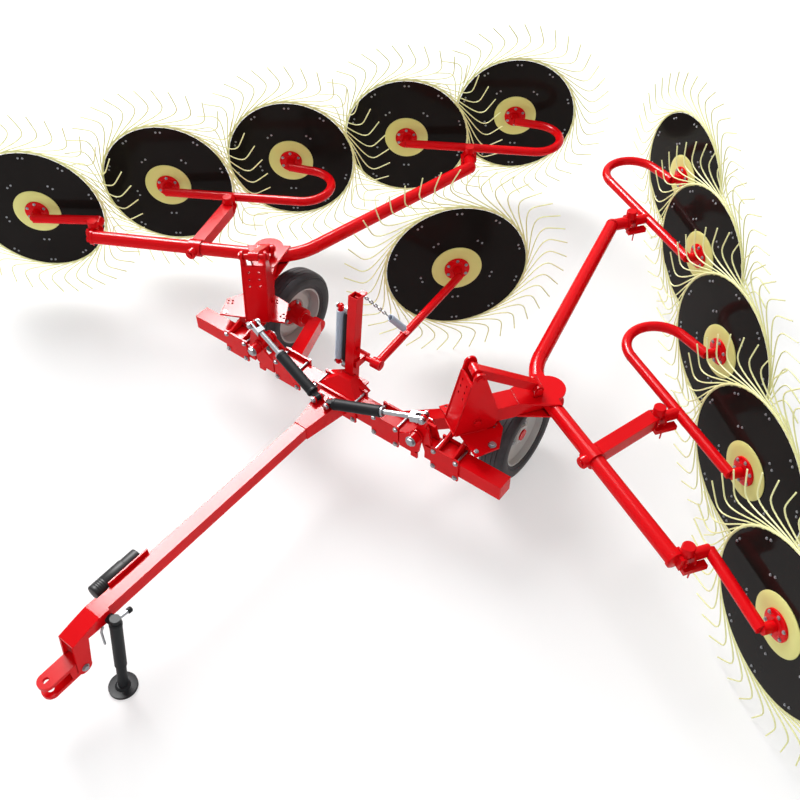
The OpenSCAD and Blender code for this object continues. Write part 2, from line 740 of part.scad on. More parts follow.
// Box leg that slopes from the clamp's rear plate down to the knuckle on the axle's line
leg_w = 84;
leg_h = 90;
leg_early = 60;
leg_from = [wheel_clamp_x + 138, cross_rear + clamp_t - weld, frame_low + leg_h / 2];
leg_to = [track_half - 222, axle_y - 30, tyre_r + 16];
leg_len = norm(leg_to - leg_from);
leg_fall = asin((leg_from[2] - leg_to[2]) / leg_len);
knuckle_in = track_half - 245;
knuckle_x = track_half - 183;
knuckle_r = 48;
hub_in = track_half - tyre_w / 2 - 20;
axle_out = 42;
axle_cap_t = 8;
axle_cap_over = 12;
boss_over = 10;
module wheel_leg() {
    color(red) {
        clamp_plates(wheel_clamp_x, wheel_clamp_w);
        difference() {
            translate(leg_from) rotate([0, leg_fall, atan2(leg_to[1] - leg_from[1], leg_to[0] - leg_from[0])])
                translate([-leg_early, -leg_w / 2, -leg_h / 2]) cube([leg_len + leg_early, leg_w, leg_h]);
            translate([0, cross_y, frame_low - cross_h]) cube([cross_half, cross_d, 3 * cross_h]);
        }
        translate([knuckle_in, axle_y, tyre_r]) rotate([0, 90, 0]) cylinder(r = knuckle_r, h = knuckle_x - knuckle_in);
        translate([knuckle_x - weld, axle_y, tyre_r]) rotate([0, 90, 0]) {
            cylinder(r = axle_r + boss_over, h = hub_in - knuckle_x + weld);
            cylinder(r = axle_r, h = track_half + axle_out - knuckle_x);
            translate([0, 0, track_half + axle_out - knuckle_x]) cylinder(r = axle_r + axle_cap_over, h = axle_cap_t);
        }
    }
}

module on_axle() {
    translate([track_half, axle_y, tyre_r]) rotate([0, 90, 0]) children();
}

module tyre() {
    h = tyre_w / 2;
    // Radius and half width from the bead over the side to the tread
    half = [[wheel_rim_r, h - 16], [wheel_rim_r + 24, h - 4], [wheel_rim_r + 44, h], [tyre_r - 48, h - 2],
        [tyre_r - 24, h - 12], [tyre_r - 8, h - 28], [tyre_r, h - 52]];
    color(black) on_axle() rotate_extrude() polygon(concat(half,
        [for (i = [len(half) - 1:-1:0]) [half[i][0], -half[i][1]]]));
}

// Dished wheel disc in its rim, with the hub
rim_t = 12;
rim_inset = 20;
dish_r = 142;
pan_r = 104;
rim_hub_r = 60;
module rim() {
    h = tyre_w / 2 - rim_inset;
    edge = wheel_rim_r - rim_t;
    color(grey) on_axle() difference() {
        union() {
            rotate_extrude() polygon([[wheel_rim_r, -h], [wheel_rim_r, h], [edge, h], [edge, 28], [dish_r, 4], [pan_r, 4],
                [pan_r - rim_t, 18], [rim_hub_r - 2, 18], [rim_hub_r - 2, 8], [pan_r - 16, 8], [pan_r - 4, -6], [dish_r + 2, -6],
                [edge, 16], [edge, -h]]);
            translate([0, 0, hub_in + end_gap - track_half]) cylinder(r = rim_hub_r, h = track_half - hub_in + axle_out - 3 * end_gap);
        }
        translate([0, 0, hub_in - track_half]) cylinder(r = axle_r + run, h = 2 * tyre_w);
    }
}

// Frame

module crossbeam() {
    wall = frame_wall;
    color(red) difference() {
        translate([-centre_half, cross_y, frame_low]) cube([2 * centre_half, cross_d, cross_h]);
        translate([-centre_half - 1, cross_y + wall, frame_low + wall])
            cube([2 * centre_half + 2, cross_d - 2 * wall, cross_h - 2 * wall]);
    }
}

flare_half = 90;
flare_len = 300;
flare_front = cross_y - flare_len;
flare_over = 10;
flare_rise = 12;
cheek_half = 18;
strip_t = 10;
strip_h = 30;
strip_drop = 54;
tube_front = -2347;
tube_len = 288;
module drawbar() {
    w = drawbar_w;
    wall = frame_wall;
    color(red) {
        difference() {
            translate([-w / 2, drawbar_front, frame_top - w]) cube([w, cross_y - drawbar_front, w]);
            translate([-w / 2 + wall, drawbar_front - 1, frame_top - w + wall])
                cube([w - 2 * wall, flare_front - drawbar_front, w - 2 * wall]);
        }
        // Flared box between the drawbar and the middle beam
        intersection() {
            translate([0, 0, frame_low - w]) linear_extrude(3 * w)
                polygon([[-flare_half, cross_y], [flare_half, cross_y], [w / 2 + weld, flare_front], [-w / 2 - weld, flare_front]]);
            side_plate(-flare_half - 1, 2 * flare_half + 2) polygon([[flare_front - 1, frame_top - w - flare_over], [cross_y + 1, frame_top - w - flare_over],
                [cross_y + 1, frame_top + flare_rise], [barrel_y - 2 * cheek_half, frame_top + flare_rise], [flare_front - 1, frame_top + weld]]);
        }
        clamp_plate(-mast_plate_half, 2 * mast_plate_half, cross_y - clamp_t);
        // Strip that carries the document tube
        translate([-w / 2 - strip_t, tube_front, frame_top - strip_drop]) cube([strip_t + weld, tube_len - 18, strip_h]);
        // Ears and pins of the two barrels
        for (m = [0, 1]) mirror([m, 0, 0]) translate([barrel_x, barrel_y, 0]) rotate(cylinder_heading) {
            for (y = [-eye_half - 2 - strip_t, eye_half + 2]) {
                translate([-cheek_half + weld, y, frame_top]) cube([2 * (cheek_half - weld), strip_t, barrel_rise]);
                translate([0, y + strip_t, barrel_z]) rotate([90, 0, 0]) cylinder(r = cheek_half, h = strip_t);
            }
            translate([0, eye_half + strip_t + pin_over, barrel_z]) rotate([90, 0, 0])
                cylinder(r = barrel_pin_r, h = 2 * (eye_half + strip_t + pin_over));
        }
    }
}

// Hitch bracket: distance ahead of the drawbar's end, and drop from the frame's top
hitch_t = 12;
hitch_lap = 60;
hitch_bend = [100, 20];
hitch_nose = [172, 38];
hitch_heel = [86, 69];
bolt_ahead = 158;
bolt_drop = 17;
hitch_round_r = 40;
clevis_t = 20;
clevis_back = 162;
clevis_wall_from = 97;
module hitch_outline() {
    polygon([[drawbar_front + hitch_lap, frame_top], [drawbar_front, frame_top], [drawbar_front - hitch_bend[0], frame_top - hitch_bend[1]],
        [drawbar_front - hitch_nose[0], frame_top - hitch_nose[1]], [drawbar_front - bolt_ahead - hitch_round_r + weld, clevis_z - bolt_drop],
        [drawbar_front - bolt_ahead + hitch_round_r - weld, clevis_z - bolt_drop], [drawbar_front - hitch_heel[0], frame_top - hitch_heel[1]],
        [drawbar_front + hitch_lap, frame_top - drawbar_w]]);
    translate([drawbar_front - bolt_ahead, clevis_z - bolt_drop]) circle(hitch_round_r);
}
module hitch() {
    half = drawbar_w / 2;
    color(red) difference() {
        union() {
            for (x = [-half - hitch_t, half]) side_plate(x, hitch_t) hitch_outline();
            // Sloping top plate
            side_plate(-half - weld, drawbar_w + 2 * weld) polygon([[drawbar_front, frame_top], [drawbar_front - hitch_bend[0], frame_top - hitch_bend[1]],
                [drawbar_front - hitch_nose[0], frame_top - hitch_nose[1]], [drawbar_front - hitch_nose[0], frame_top - hitch_nose[1] - hitch_t],
                [drawbar_front - hitch_bend[0], frame_top - hitch_bend[1] - hitch_t], [drawbar_front, frame_top - hitch_t]]);
            // Clevis plates with the walls behind the slot
            for (s = [-1, 1]) translate([0, 0, clevis_z + s * clevis_gap / 2 - clevis_t / 2]) linear_extrude(clevis_t) {
                translate([-clevis_r, clevis_y]) square([2 * clevis_r, drawbar_front - clevis_back - clevis_y]);
                translate([0, clevis_y]) circle(clevis_r + weld / 2);
            }
            for (x = [-clevis_r, clevis_r - hitch_t]) translate([x, clevis_y + clevis_wall_from, clevis_z - clevis_gap / 2])
                cube([hitch_t, drawbar_front - clevis_back - clevis_y - clevis_wall_from, clevis_gap]);
        }
        translate([0, clevis_y, clevis_z - clevis_gap]) cylinder(r = clevis_hole_r, h = 2 * clevis_gap);
    }
}

tube_r = 42;
tube_cap_len = 200;
tube_step = 3;
touch = 0.3;
module document_tube() {
    color(black) translate([-drawbar_w / 2 - strip_t - touch - tube_r, tube_front, frame_top - strip_drop + strip_h / 2]) rotate([-90, 0, 0]) {
        cylinder(r = tube_r, h = tube_cap_len);
        translate([0, 0, tube_cap_len]) cylinder(r = tube_r - tube_step, h = tube_len - tube_cap_len);
    }
}

// Jack: lengths along its axis from the ground
jack_low = 185;
jack_top = (frame_top - 50) / cos(jack_lean);
jack_pivot = jack_top - 6;
jack_pivot_r = 26;
jack_leg_top = 350;
jack_foot_t = 12;
crank_r = 9;
crank_len = 90;
module on_jack() {
    translate([jack_x, jack_y, 0]) rotate([-jack_lean, 0, 0]) children();
}
module jack_tube() {
    color(black) difference() {
        union() {
            on_jack() {
                translate([0, 0, jack_low]) cylinder(r = jack_r, h = jack_top - jack_low);
                translate([0, 0, jack_top - weld]) cylinder(r = jack_r - crank_r / 2, h = 3 * crank_r);
                translate([0, 0, jack_top + crank_r]) rotate([-90, 0, 0]) cylinder(r = crank_r, h = crank_len);
            }
            // Swivel that holds the jack on the hitch bracket's side
            translate([drawbar_w / 2 + hitch_t, jack_y + jack_pivot * sin(jack_lean), jack_pivot * cos(jack_lean)]) rotate([0, 90, 0])
                cylinder(r = jack_pivot_r, h = jack_x - drawbar_w / 2 - hitch_t);
        }
        on_jack() translate([0, 0, jack_low - 1]) cylinder(r = jack_leg_r + run, h = jack_top - jack_low - jack_foot_t);
    }
}

module jack_leg() {
    color(black) {
        intersection() {
            on_jack() translate([0, 0, -jack_foot_t]) cylinder(r = jack_leg_r, h = jack_leg_top);
            translate([jack_x - jack_foot_r, jack_y - jack_foot_r, jack_foot_t / 2]) cube([2 * jack_foot_r, 2 * jack_foot_r, jack_leg_top]);
        }
        translate([jack_x, jack_y, 0]) cylinder(r = jack_foot_r, h = jack_foot_t);
    }
}

mast_y = cross_rear + 50;
module on_mast() {
    translate([0, mast_y, frame_top]) rotate([-mast_lean, 0, 0]) children();
}
mast_wall = 5;
mast_plate_half = 155;
mast_floor_half = 90;
mast_floor_len = 100;
slope_half = [146, 40];
slope_front = 14;
slope_top = 66;
strut_low = 90;
strut_high = 480;
strut_end = 18;
strut_r = 20;
strut_pin_r = 8;
strut_in = 24;
spring_in = 70;
kicker_z = frame_top + kicker_rise;
kicker_pin_r = 16;
kicker_eye_r = 32;
kicker_eye_half = 30;
stop_rise = 102;
stop_r = 12;
stop_end = 115;
module mast() {
    w = mast_w;
    pad = kicker_pin_r + 8;
    stop_y = mast_y + tan(mast_lean) * (kicker_rise + stop_rise);
    color(red) {
        clamp_plate(-mast_plate_half, 2 * mast_plate_half, cross_rear);
        translate([-mast_floor_half, cross_rear, frame_top - clamp_t]) cube([2 * mast_floor_half, mast_floor_len, clamp_t]);
        // Sloping plate in front of the mast's foot
        intersection() {
            side_plate(-mast_plate_half, 2 * mast_plate_half) polygon([[cross_y + slope_front, frame_top], [mast_y, frame_top],
                [mast_y, frame_top + slope_top], [cross_rear - clamp_t, frame_top + slope_top]]);
            front_plate(cross_y, cross_d + mast_floor_len) polygon([[-slope_half[0], frame_top - 1], [slope_half[0], frame_top - 1],
                [slope_half[1], frame_top + slope_top + 1], [-slope_half[1], frame_top + slope_top + 1]]);
        }
        on_mast() difference() {
            translate([-w / 2, -w / 2, -clamp_t]) cube([w, w, mast_rise]);
            translate([-w / 2 + mast_wall, -w / 2 + mast_wall, slope_top]) cube([w - 2 * mast_wall, w - 2 * mast_wall, mast_rise]);
        }
        for (z = [strut_low, strut_high]) on_mast() translate([-w / 2 + weld, 0, z]) rotate([0, -90, 0])
            cylinder(r = strut_pin_r, h = spring_in + strut_r + pin_over);
        bar([w / 2 - weld, kicker_pivot_y, kicker_z], [kicker_pivot_x + kicker_eye_half + 4, kicker_pivot_y, kicker_z], kicker_pin_r);
        translate([0, mast_y, kicker_z - pad]) cube([w / 2 + 14, kicker_pivot_y - mast_y + pad, 2 * pad]);
        bar([w / 2 - weld, stop_y, kicker_z + stop_rise], [stop_end, stop_y, kicker_z + stop_rise], stop_r);
        // Lug that the chain hangs from
        translate([-lug_w / 2, chain_top[1] + lug_w / 2 - chain_lug_l, chain_top[2] + chain_r * chain_tilt + touch])
            cube([lug_w, chain_lug_l, lug_h]);
    }
}

module beside_mast(x) {
    on_mast() translate([-mast_w / 2 - x, 0, 0]) difference() {
        translate([0, 0, strut_low - strut_end]) cylinder(r = strut_r, h = strut_high - strut_low + 2 * strut_end);
        for (z = [strut_low, strut_high]) translate([-2 * strut_r, 0, z]) rotate([0, 90, 0])
            cylinder(r = strut_pin_r + run, h = 4 * strut_r);
    }
}
module mast_strut() {
    color(black) beside_mast(strut_in);
}
module mast_spring() {
    color(spring_blue) beside_mast(spring_in);
}

// Chain and spring that hold the kicker arm
kicker_pivot = [kicker_pivot_x, kicker_pivot_y, kicker_z];
kicker_end = concat(kicker_hub + heading(kicker_heading) * arm_offset, [hub_z]);
spring_share = 0.315;
spring_seat = [15, 0, 39];
chain_top = [0, mast_y + 133, frame_top + mast_rise - 55];
chain_low = kicker_pivot + (kicker_end - kicker_pivot) * spring_share + spring_seat;
chain_share = 0.55;
chain_mid = chain_top + (chain_low - chain_top) * chain_share;
chain_r = 6;
kicker_spring_r = 18;
// Share of a radius by which the slanted ends stand above or below their middles
chain_tilt = norm([chain_low[0] - chain_top[0], chain_low[1] - chain_top[1]]) / norm(chain_low - chain_top);
lug_w = 36;
lug_h = 14;
chain_lug_l = 70;
module kicker_chain() {
    color(zinc) bar(chain_top, chain_mid, chain_r);
}
module kicker_spring() {
    color(spring_blue) bar(chain_mid, chain_low, kicker_spring_r);
}

module kicker_arm() {
    color(red) {
        difference() {
            union() {
                bar(kicker_pivot, kicker_end, kicker_arm_r);
                translate(kicker_pivot) rotate([0, 90, 0]) translate([0, 0, -kicker_eye_half]) cylinder(r = kicker_eye_r, h = 2 * kicker_eye_half);
            }
            translate(kicker_pivot) rotate([0, 90, 0]) translate([0, 0, -2 * kicker_eye_half]) cylinder(r = kicker_pin_r + run, h = 4 * kicker_eye_half);
        }
        at_hub(kicker_hub, kicker_heading) spindle();
        // Lug that the spring hooks into
        translate([chain_low[0] - lug_w, chain_low[1] - lug_w / 2, chain_low[2] - kicker_spring_r * chain_tilt - touch - lug_h])
            cube([1.5 * lug_w, lug_w, lug_h]);
    }
}

// Assembly

crossbeam();
drawbar();
hitch();
document_tube();
jack_tube();
jack_leg();
mast();
mast_strut();
mast_spring();
kicker_chain();
kicker_spring();
kicker_arm();
at_hub(kicker_hub, kicker_heading) tined_wheel();  // tined_wheel_kicker
at_hub(kicker_hub, kicker_heading) windguard();  // windguard_kicker
for (s = sides) {
    mirrored(s) lift_base();
    mirrored(s) outer_beam();
    mirrored(s) tower();
    mirrored(s) top_link();
    mirrored(s) wing_beam();
    mirrored(s) front_arm();
    mirrored(s) rocker(2);
    mirrored(s) rocker(4);
    mirrored(s) wheel_leg();
    mirrored(s) tyre();
    mirrored(s) rim();
    mirrored(s) barrel();
    mirrored(s) rod();
    for (i = [1:wheels]) {
        mirrored(s) at_hub(hub(i), arm_heading) tined_wheel();
        mirrored(s) at_hub(hub(i), arm_heading) windguard();
    }
}
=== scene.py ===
from math import asin, atan2, cos, pi, radians, sin, tau
import bpy
from mathutils import Matrix, Vector


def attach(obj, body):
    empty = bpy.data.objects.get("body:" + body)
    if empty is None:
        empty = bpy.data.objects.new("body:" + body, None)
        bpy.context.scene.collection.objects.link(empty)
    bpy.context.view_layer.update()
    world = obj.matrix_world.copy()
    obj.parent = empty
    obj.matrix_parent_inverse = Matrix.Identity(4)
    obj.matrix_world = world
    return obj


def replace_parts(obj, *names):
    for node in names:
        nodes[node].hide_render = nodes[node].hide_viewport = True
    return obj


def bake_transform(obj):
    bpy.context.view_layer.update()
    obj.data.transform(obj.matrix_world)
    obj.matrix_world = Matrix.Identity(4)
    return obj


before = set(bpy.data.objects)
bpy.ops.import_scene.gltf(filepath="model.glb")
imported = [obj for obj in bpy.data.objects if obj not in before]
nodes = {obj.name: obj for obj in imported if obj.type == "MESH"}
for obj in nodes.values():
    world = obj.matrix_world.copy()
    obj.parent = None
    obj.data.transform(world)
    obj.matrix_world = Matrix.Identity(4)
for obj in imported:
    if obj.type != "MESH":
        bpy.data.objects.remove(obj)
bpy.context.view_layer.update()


# Painted steel frame: welded box tubes and plates, powder coated in one glossy
# red. The coat has a faint orange peel and is darker along edges, with painted
# shade in holes and corners.
def socket_of(node, key):
    """A node's input by its name, with underscores for spaces, or by its number, as in i0."""
    if key[1:].isdigit():
        return node.inputs[int(key[1:])]
    return node.inputs[key.replace("_", " ")]


class Wire:
    """A shader socket: operators add Math nodes, and make adds any other node."""

    def __init__(self, tree, socket):
        self.tree, self.socket = tree, socket

    def make(self, kind, settings=(), output=0, **inputs):
        node = self.tree.nodes.new(kind)
        for key, value in dict(settings).items():
            setattr(node, key, value)
        for key, value in inputs.items():
            if isinstance(value, Wire):
                self.tree.links.new(value.socket, socket_of(node, key))
            else:
                socket_of(node, key).default_value = value
        return Wire(self.tree, node.outputs[output])

    def maths(self, operation, a, b):
        return self.make("ShaderNodeMath", {"operation": operation}, i0=a, i1=b)

    def __add__(self, other):
        return self.maths("ADD", self, other)

    def __radd__(self, other):
        return self.maths("ADD", other, self)

    def __sub__(self, other):
        return self.maths("SUBTRACT", self, other)

    def __rsub__(self, other):
        return self.maths("SUBTRACT", other, self)

    def __mul__(self, other):
        return self.maths("MULTIPLY", self, other)

    def __rmul__(self, other):
        return self.maths("MULTIPLY", other, self)

    def noise(self, scale, detail):
        return self.make("ShaderNodeTexNoise", Vector=self, Scale=scale, Detail=detail)

    def mix(self, factor, a, b):
        return self.make("ShaderNodeMix", {"data_type": "RGBA"}, output=2, i0=factor, i6=a, i7=b)

    def ramp(self, low, high):
        return self.make("ShaderNodeMapRange", Value=self, From_Min=low, From_Max=high)

    def bump(self, strength, distance, normal):
        return self.make("ShaderNodeBump", Height=self, Strength=strength, Distance=distance, Normal=normal)


def finish_of(name, **fixed):
    """A material with a Principled shader, its Object coordinates, and a function to link sockets."""
    material = bpy.data.materials.new(name)
    material.use_nodes = True
    tree = material.node_tree
    shader = tree.nodes["Principled BSDF"]
    for key, value in fixed.items():
        socket_of(shader, key).default_value = value
    place = Wire(tree, tree.nodes.new("ShaderNodeTexCoord").outputs["Object"])

    def link(**sockets):
        for key, value in sockets.items():
            tree.links.new(value.socket, socket_of(shader, key))
    return material, place, link


def tint(colour, share=1.0):
    """A colour with its alpha, dimmed to a share."""
    return (*[c * share for c in colour], 1)


def painted(name, colour, deep, rough, shade_reach=0.0, **fixed):
    """Paint with clouds of tone, an orange peel and dark, rounded edges.

    Given a reach, painted shade darkens the colour where the piece's own faces come nearer than it, as in
    holes and corners.
    """
    material, place, link = finish_of(name, **fixed)
    cloud_scale, peel_scale, edge_radius = 2.2, 95.0, 0.002
    cloud = place.noise(cloud_scale, 3.0)
    peel = place.noise(peel_scale, 2.0)
    rounded = place.make("ShaderNodeBevel", {"samples": 4}, Radius=edge_radius)
    flat = place.make("ShaderNodeNewGeometry", output=1)
    level = place.make("ShaderNodeVectorMath", {"operation": "DOT_PRODUCT"}, output=1, i0=rounded, i1=flat)
    worn = (1.0 - level).ramp(0.02, 0.35) * 0.5
    tone = place.mix(cloud.ramp(0.35, 0.7), tint(colour), tint(deep))
    tone = place.mix(worn, tone, tint(deep, 0.6))
    # painted shade: ambient occlusion within the reach darkens the colour in holes and corners
    if shade_reach:
        nearby = {"samples": 6, "only_local": True}
        unshaded = place.make("ShaderNodeAmbientOcclusion", nearby, output=1, Distance=shade_reach)
        tone = place.mix(unshaded.ramp(0.20, 0.75), tint(deep, 0.12), tone)
    link(Base_Color=tone,
         Roughness=cloud * 0.10 + (peel * 0.06 + (rough - 0.08)),
         Normal=peel.bump(0.05, 0.002, rounded))
    return material


# the red paint carries painted shade in its holes and corners, out to 18 mm
red_paint = painted("red_paint", (0.70, 0.0025, 0.006), (0.62, 0.002, 0.005), 0.18,
                    shade_reach=0.018, Specular_IOR_Level=0.09)
for part in nodes.values():
    part.data.materials.clear()
    part.data.materials.append(red_paint)


# Fasteners: zinc plated hexagon bolts on washers. The long ones run over and
# under the cross beams from clamp plate to clamp plate.
def bright_metal(name, colour, rough):
    """Bare or plated metal with fine scratches."""
    material, place, link = finish_of(name, Metallic=1.0)
    scratch = place.noise(140.0, 4.0)
    link(Base_Color=place.mix(scratch.ramp(0.3, 0.75), tint(colour), tint(colour, 0.74)),
         Roughness=scratch * 0.16 + (rough - 0.08))
    return material


zinc = bright_metal("zinc", (0.36, 0.37, 0.39), 0.38)


def polar(radius, angle, height=0.0):
    """A point by its distance from Z, its angle about it and its height."""
    return radius * cos(angle), radius * sin(angle), height


def lathe(profile, steps, ring=False):
    """Points and faces of an outline of radius and height, turned about Z.

    A ring's outline runs up outside and down inside; any other is closed by flat ends.
    """
    rows = len(profile)
    points = [polar(r, tau * k / steps, z) for r, z in profile for k in range(steps)]
    faces = []
    for row in range(rows if ring else rows - 1):
        low, high = row * steps, (row + 1) % rows * steps
        for k in range(steps):
            after = (k + 1) % steps
            faces.append((low + k, low + after, high + after, high + k))
    if not ring:
        faces += [tuple(range(steps))[::-1], tuple(range((rows - 1) * steps, rows * steps))]
    return points, faces


def joined(name, material, *shapes):
    """One mesh of several shapes."""
    points, faces = [], []
    for more_points, more_faces in shapes:
        faces += [tuple(len(points) + i for i in face) for face in more_faces]
        points += more_points
    mesh = bpy.data.meshes.new(name)
    mesh.from_pydata(points, [], faces)
    mesh.materials.append(material)
    return mesh


def bolt(name, corner, height, shank, length):
    """A hexagon head of that corner radius on a washer at Z 0, with its shank below."""
    washer, plate = corner * 1.25, height * 0.28
    return joined(name, zinc,
                  lathe([(washer, 0.0), (washer, plate), (corner, plate + 0.0004)], 18),
                  lathe([(corner, plate), (corner, height * 0.85), (corner * 0.84, height)], 6),
                  lathe([(shank * 0.9, -length), (shank, -length + shank * 0.3), (shank, 0.001)], 10))


def in_scene(name, data):
    """A new object of that data, linked to the scene."""
    thing = bpy.data.objects.new(name, data)
    bpy.context.scene.collection.objects.link(thing)
    return thing


def tree_of(name, *inputs):
    """An empty geometry tree with named inputs, and functions that add a node and end it."""
    tree = bpy.data.node_groups.new(name, "GeometryNodeTree")
    tree.interface.new_socket("Geometry", in_out="INPUT", socket_type="NodeSocketGeometry")
    for label, kind in inputs:
        tree.interface.new_socket(label, in_out="INPUT", socket_type="NodeSocket" + kind)
    tree.interface.new_socket("Geometry", in_out="OUTPUT", socket_type="NodeSocketGeometry")
    start = tree.nodes.new("NodeGroupInput")

    def add(kind, settings=(), output=0, **links):
        node = tree.nodes.new(kind)
        for key, value in dict(settings).items():
            setattr(node, key, value)
        for key, value in links.items():
            for item in value if isinstance(value, list) else [value]:
                if isinstance(item, bpy.types.NodeSocket):
                    tree.links.new(item, socket_of(node, key))
                else:
                    socket_of(node, key).default_value = item
        return node.outputs[output]

    def end(geometry, material):
        solid = add("GeometryNodeRealizeInstances", Geometry=geometry)
        done = add("GeometryNodeSetMaterial", Geometry=solid, Material=material)
        tree.links.new(done, tree.nodes.new("NodeGroupOutput").inputs[0])
    return tree, start.outputs, add, end


def grown(tree, data, **sizes):
    """The plain mesh that the tree makes of a curve or mesh."""
    seed = in_scene(tree.name, data)
    modifier = seed.modifiers.new("shape", "NODES")
    modifier.node_group = tree
    for item in tree.interface.items_tree:
        key = item.name.replace(" ", "_")
        if item.in_out == "INPUT" and key in sizes:
            modifier[item.identifier] = sizes[key]
    depsgraph = bpy.context.evaluated_depsgraph_get()
    mesh = bpy.data.meshes.new_from_object(seed.evaluated_get(depsgraph))
    seed.modifiers.remove(modifier)
    bpy.data.objects.remove(seed)
    return mesh


def placed(name, mesh, body, matrix=None):
    """A piece of that mesh, moved to its place in the mesh, riding on a body if one is given."""
    mesh = mesh.copy()
    if matrix:
        mesh.transform(matrix)
        if matrix.determinant() < 0:
            mesh.flip_normals()
    for face in mesh.polygons:
        face.use_smooth = True
    mesh.set_sharp_from_angle(angle=radians(38))
    piece = in_scene(name, mesh)
    if body:
        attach(piece, body)
    return piece


fasteners, given, add, end = tree_of("fasteners", ("Bolt", "Object"), ("Finish", "Material"))
shape = add("GeometryNodeObjectInfo", output="Geometry", Object=given["Bolt"])
outwards = add("GeometryNodeInputNamedAttribute", {"data_type": "FLOAT_VECTOR"}, Name="facing")
aim = add("FunctionNodeAlignRotationToVector", {"axis": "Z"}, Vector=outwards)
heads = add("GeometryNodeInstanceOnPoints", Points=given["Geometry"], Instance=shape, Rotation=aim)
end(heads, given["Finish"])


def bolted(name, body, kind, places, finish=zinc):
    """Bolts of a kind on a body, from pairs of seat and outward direction."""
    seats = bpy.data.meshes.new(name)
    seats.from_pydata([tuple(seat) for seat, facing in places], [], [])
    aims = seats.attributes.new("facing", "FLOAT_VECTOR", "POINT")
    for aim, (seat, facing) in zip(aims.data, places):
        aim.vector = facing
    pattern = in_scene("pattern", kind)
    mesh = grown(fasteners, seats, Bolt=pattern, Finish=finish)
    bpy.data.objects.remove(pattern)
    return placed(name, mesh, body)


sides = (("left", 1), ("right", -1))
front, rear = Vector((0, -1, 0)), Vector((0, 1, 0))
clamp_front, clamp_rear = -0.645, -0.521
clamp_rows = (0.569, 0.449)
mast_columns, leg_columns, tower_columns = (-0.137, 0.137), (0.293, 0.447), (0.708, 0.854)
long_bolt = bolt("long_bolt", 0.0125, 0.011, 0.007, 0.124)
nut = bolt("nut", 0.0125, 0.011, 0.007, 0.012)


def clamped(name, body, columns, sign=1):
    """Long bolts with their nuts through a pair of clamp plates."""
    spots = [(sign * x, z) for x in columns for z in clamp_rows]
    bolted(f"{name}_bolts", body, long_bolt, [((x, clamp_front, z), front) for x, z in spots])
    bolted(f"{name}_nuts", body, nut, [((x, clamp_rear, z), rear) for x, z in spots])


clamped("mast_clamp", "frame", mast_columns)
for side, sign in sides:
    clamped(f"wheel_clamp_{side}", "frame", leg_columns, sign)
    clamped(f"tower_clamp_{side}", f"wing_{side}", tower_columns, sign)


# Lift hinges: a big bolt through the ears of the middle beam carries the outer
# beam, with a head on the front boss and a nut behind.
hinge_x, hinge_height, boss_front = 0.588, 0.611, -0.690
hinge_faces = ((boss_front, front), (clamp_rear, rear))
hinge_bolt = bolt("hinge_bolt", 0.026, 0.019, 0.016, 0.02)
for side, sign in sides:
    ends = [((sign * hinge_x, y, hinge_height), facing) for y, facing in hinge_faces]
    bolted(f"hinge_bolt_{side}", "frame", hinge_bolt, ends)


# Weld seams: a scalloped bead runs where plates and tubes meet, under the same
# red paint.
def path_curve(name, *lines, closed=False):
    """A curve of straight lines through the points of each path."""
    curve = bpy.data.curves.new(name, "CURVE")
    curve.dimensions = "3D"
    for points in lines:
        line = curve.splines.new("POLY")
        line.points.add(len(points) - 1)
        line.use_cyclic_u = closed
        for spot, point in zip(line.points, points):
            spot.co = (*point, 1)
    return curve


bead_radius, bead_pitch, bead_least, bead_swell = 0.004, 0.005, 0.8, 0.35
beads, given, add, end = tree_of("weld_beads", ("Bead radius", "Float"), ("Bead pitch", "Float"))
even = add("GeometryNodeResampleCurve", {"mode": "LENGTH"},
           Curve=given["Geometry"], Length=given["Bead pitch"])
swell = add("ShaderNodeMath", {"operation": "PINGPONG"}, i0=add("GeometryNodeInputIndex"), i1=1.0)
swell = add("ShaderNodeMath", {"operation": "MULTIPLY_ADD"}, i0=swell, i1=bead_swell, i2=bead_least)
even = add("GeometryNodeSetCurveRadius", Curve=even, Radius=swell)
bead = add("GeometryNodeCurvePrimitiveCircle", Resolution=6, Radius=given["Bead radius"])
end(add("GeometryNodeCurveToMesh", Curve=even, Profile_Curve=bead, Scale=swell, Fill_Caps=True), red_paint)


def welded(name, body, *lines):
    """Beads along straight lines on a body."""
    mesh = grown(beads, path_curve("seams", *lines), Bead_radius=bead_radius, Bead_pitch=bead_pitch)
    placed(name, mesh, body)


def flipped(sign):
    """The matrix that mirrors what is on the left to the right for sign -1."""
    return Matrix.Diagonal((sign, 1, 1, 1))


toe = radians(35)
tower_foot = Vector((0.713, -0.505, 0))
tower_back, tower_side = Vector((sin(toe), cos(toe), 0)), Vector((cos(toe), -sin(toe), 0))
fan_top = 0.648
up = Vector((0, 0, 1))


def on_tower(back, across, height, sign):
    """A point by its distance behind a tower's foot and across it; sign -1 is the right tower."""
    return flipped(sign) @ (tower_foot + tower_back * back + tower_side * across + up * height)


side_half, front_half = 0.0755, 0.070
side_seam, foot_seam = (0.005, 0.190), -0.001
# the front plate's slope, by distance behind the foot and height above the fan plate
front_slope = ((-0.002, 0.004), (0.078, 0.352))
leg_inner, leg_outer, leg_low, leg_high, leg_face = 0.365, 0.462, 0.456, 0.551, -0.5215
leg_corners = ((leg_inner, leg_low), (leg_outer, leg_low), (leg_outer, leg_high), (leg_inner, leg_high))
for side, sign in sides:
    seams = [[on_tower(back, s * side_half, fan_top, sign) for back in side_seam] for s in (-1, 1)]
    seams += [[on_tower(back, s * front_half, fan_top + rise, sign) for back, rise in front_slope]
              for s in (-1, 1)]
    seams += [[on_tower(foot_seam, s * front_half, fan_top, sign) for s in (-1, 1)]]
    welded(f"tower_seams_{side}", f"wing_{side}", *seams)
    welded(f"leg_seams_{side}", "frame", [(sign * x, leg_face, z) for x, z in (*leg_corners, leg_corners[0])])
drawbar_seams = []
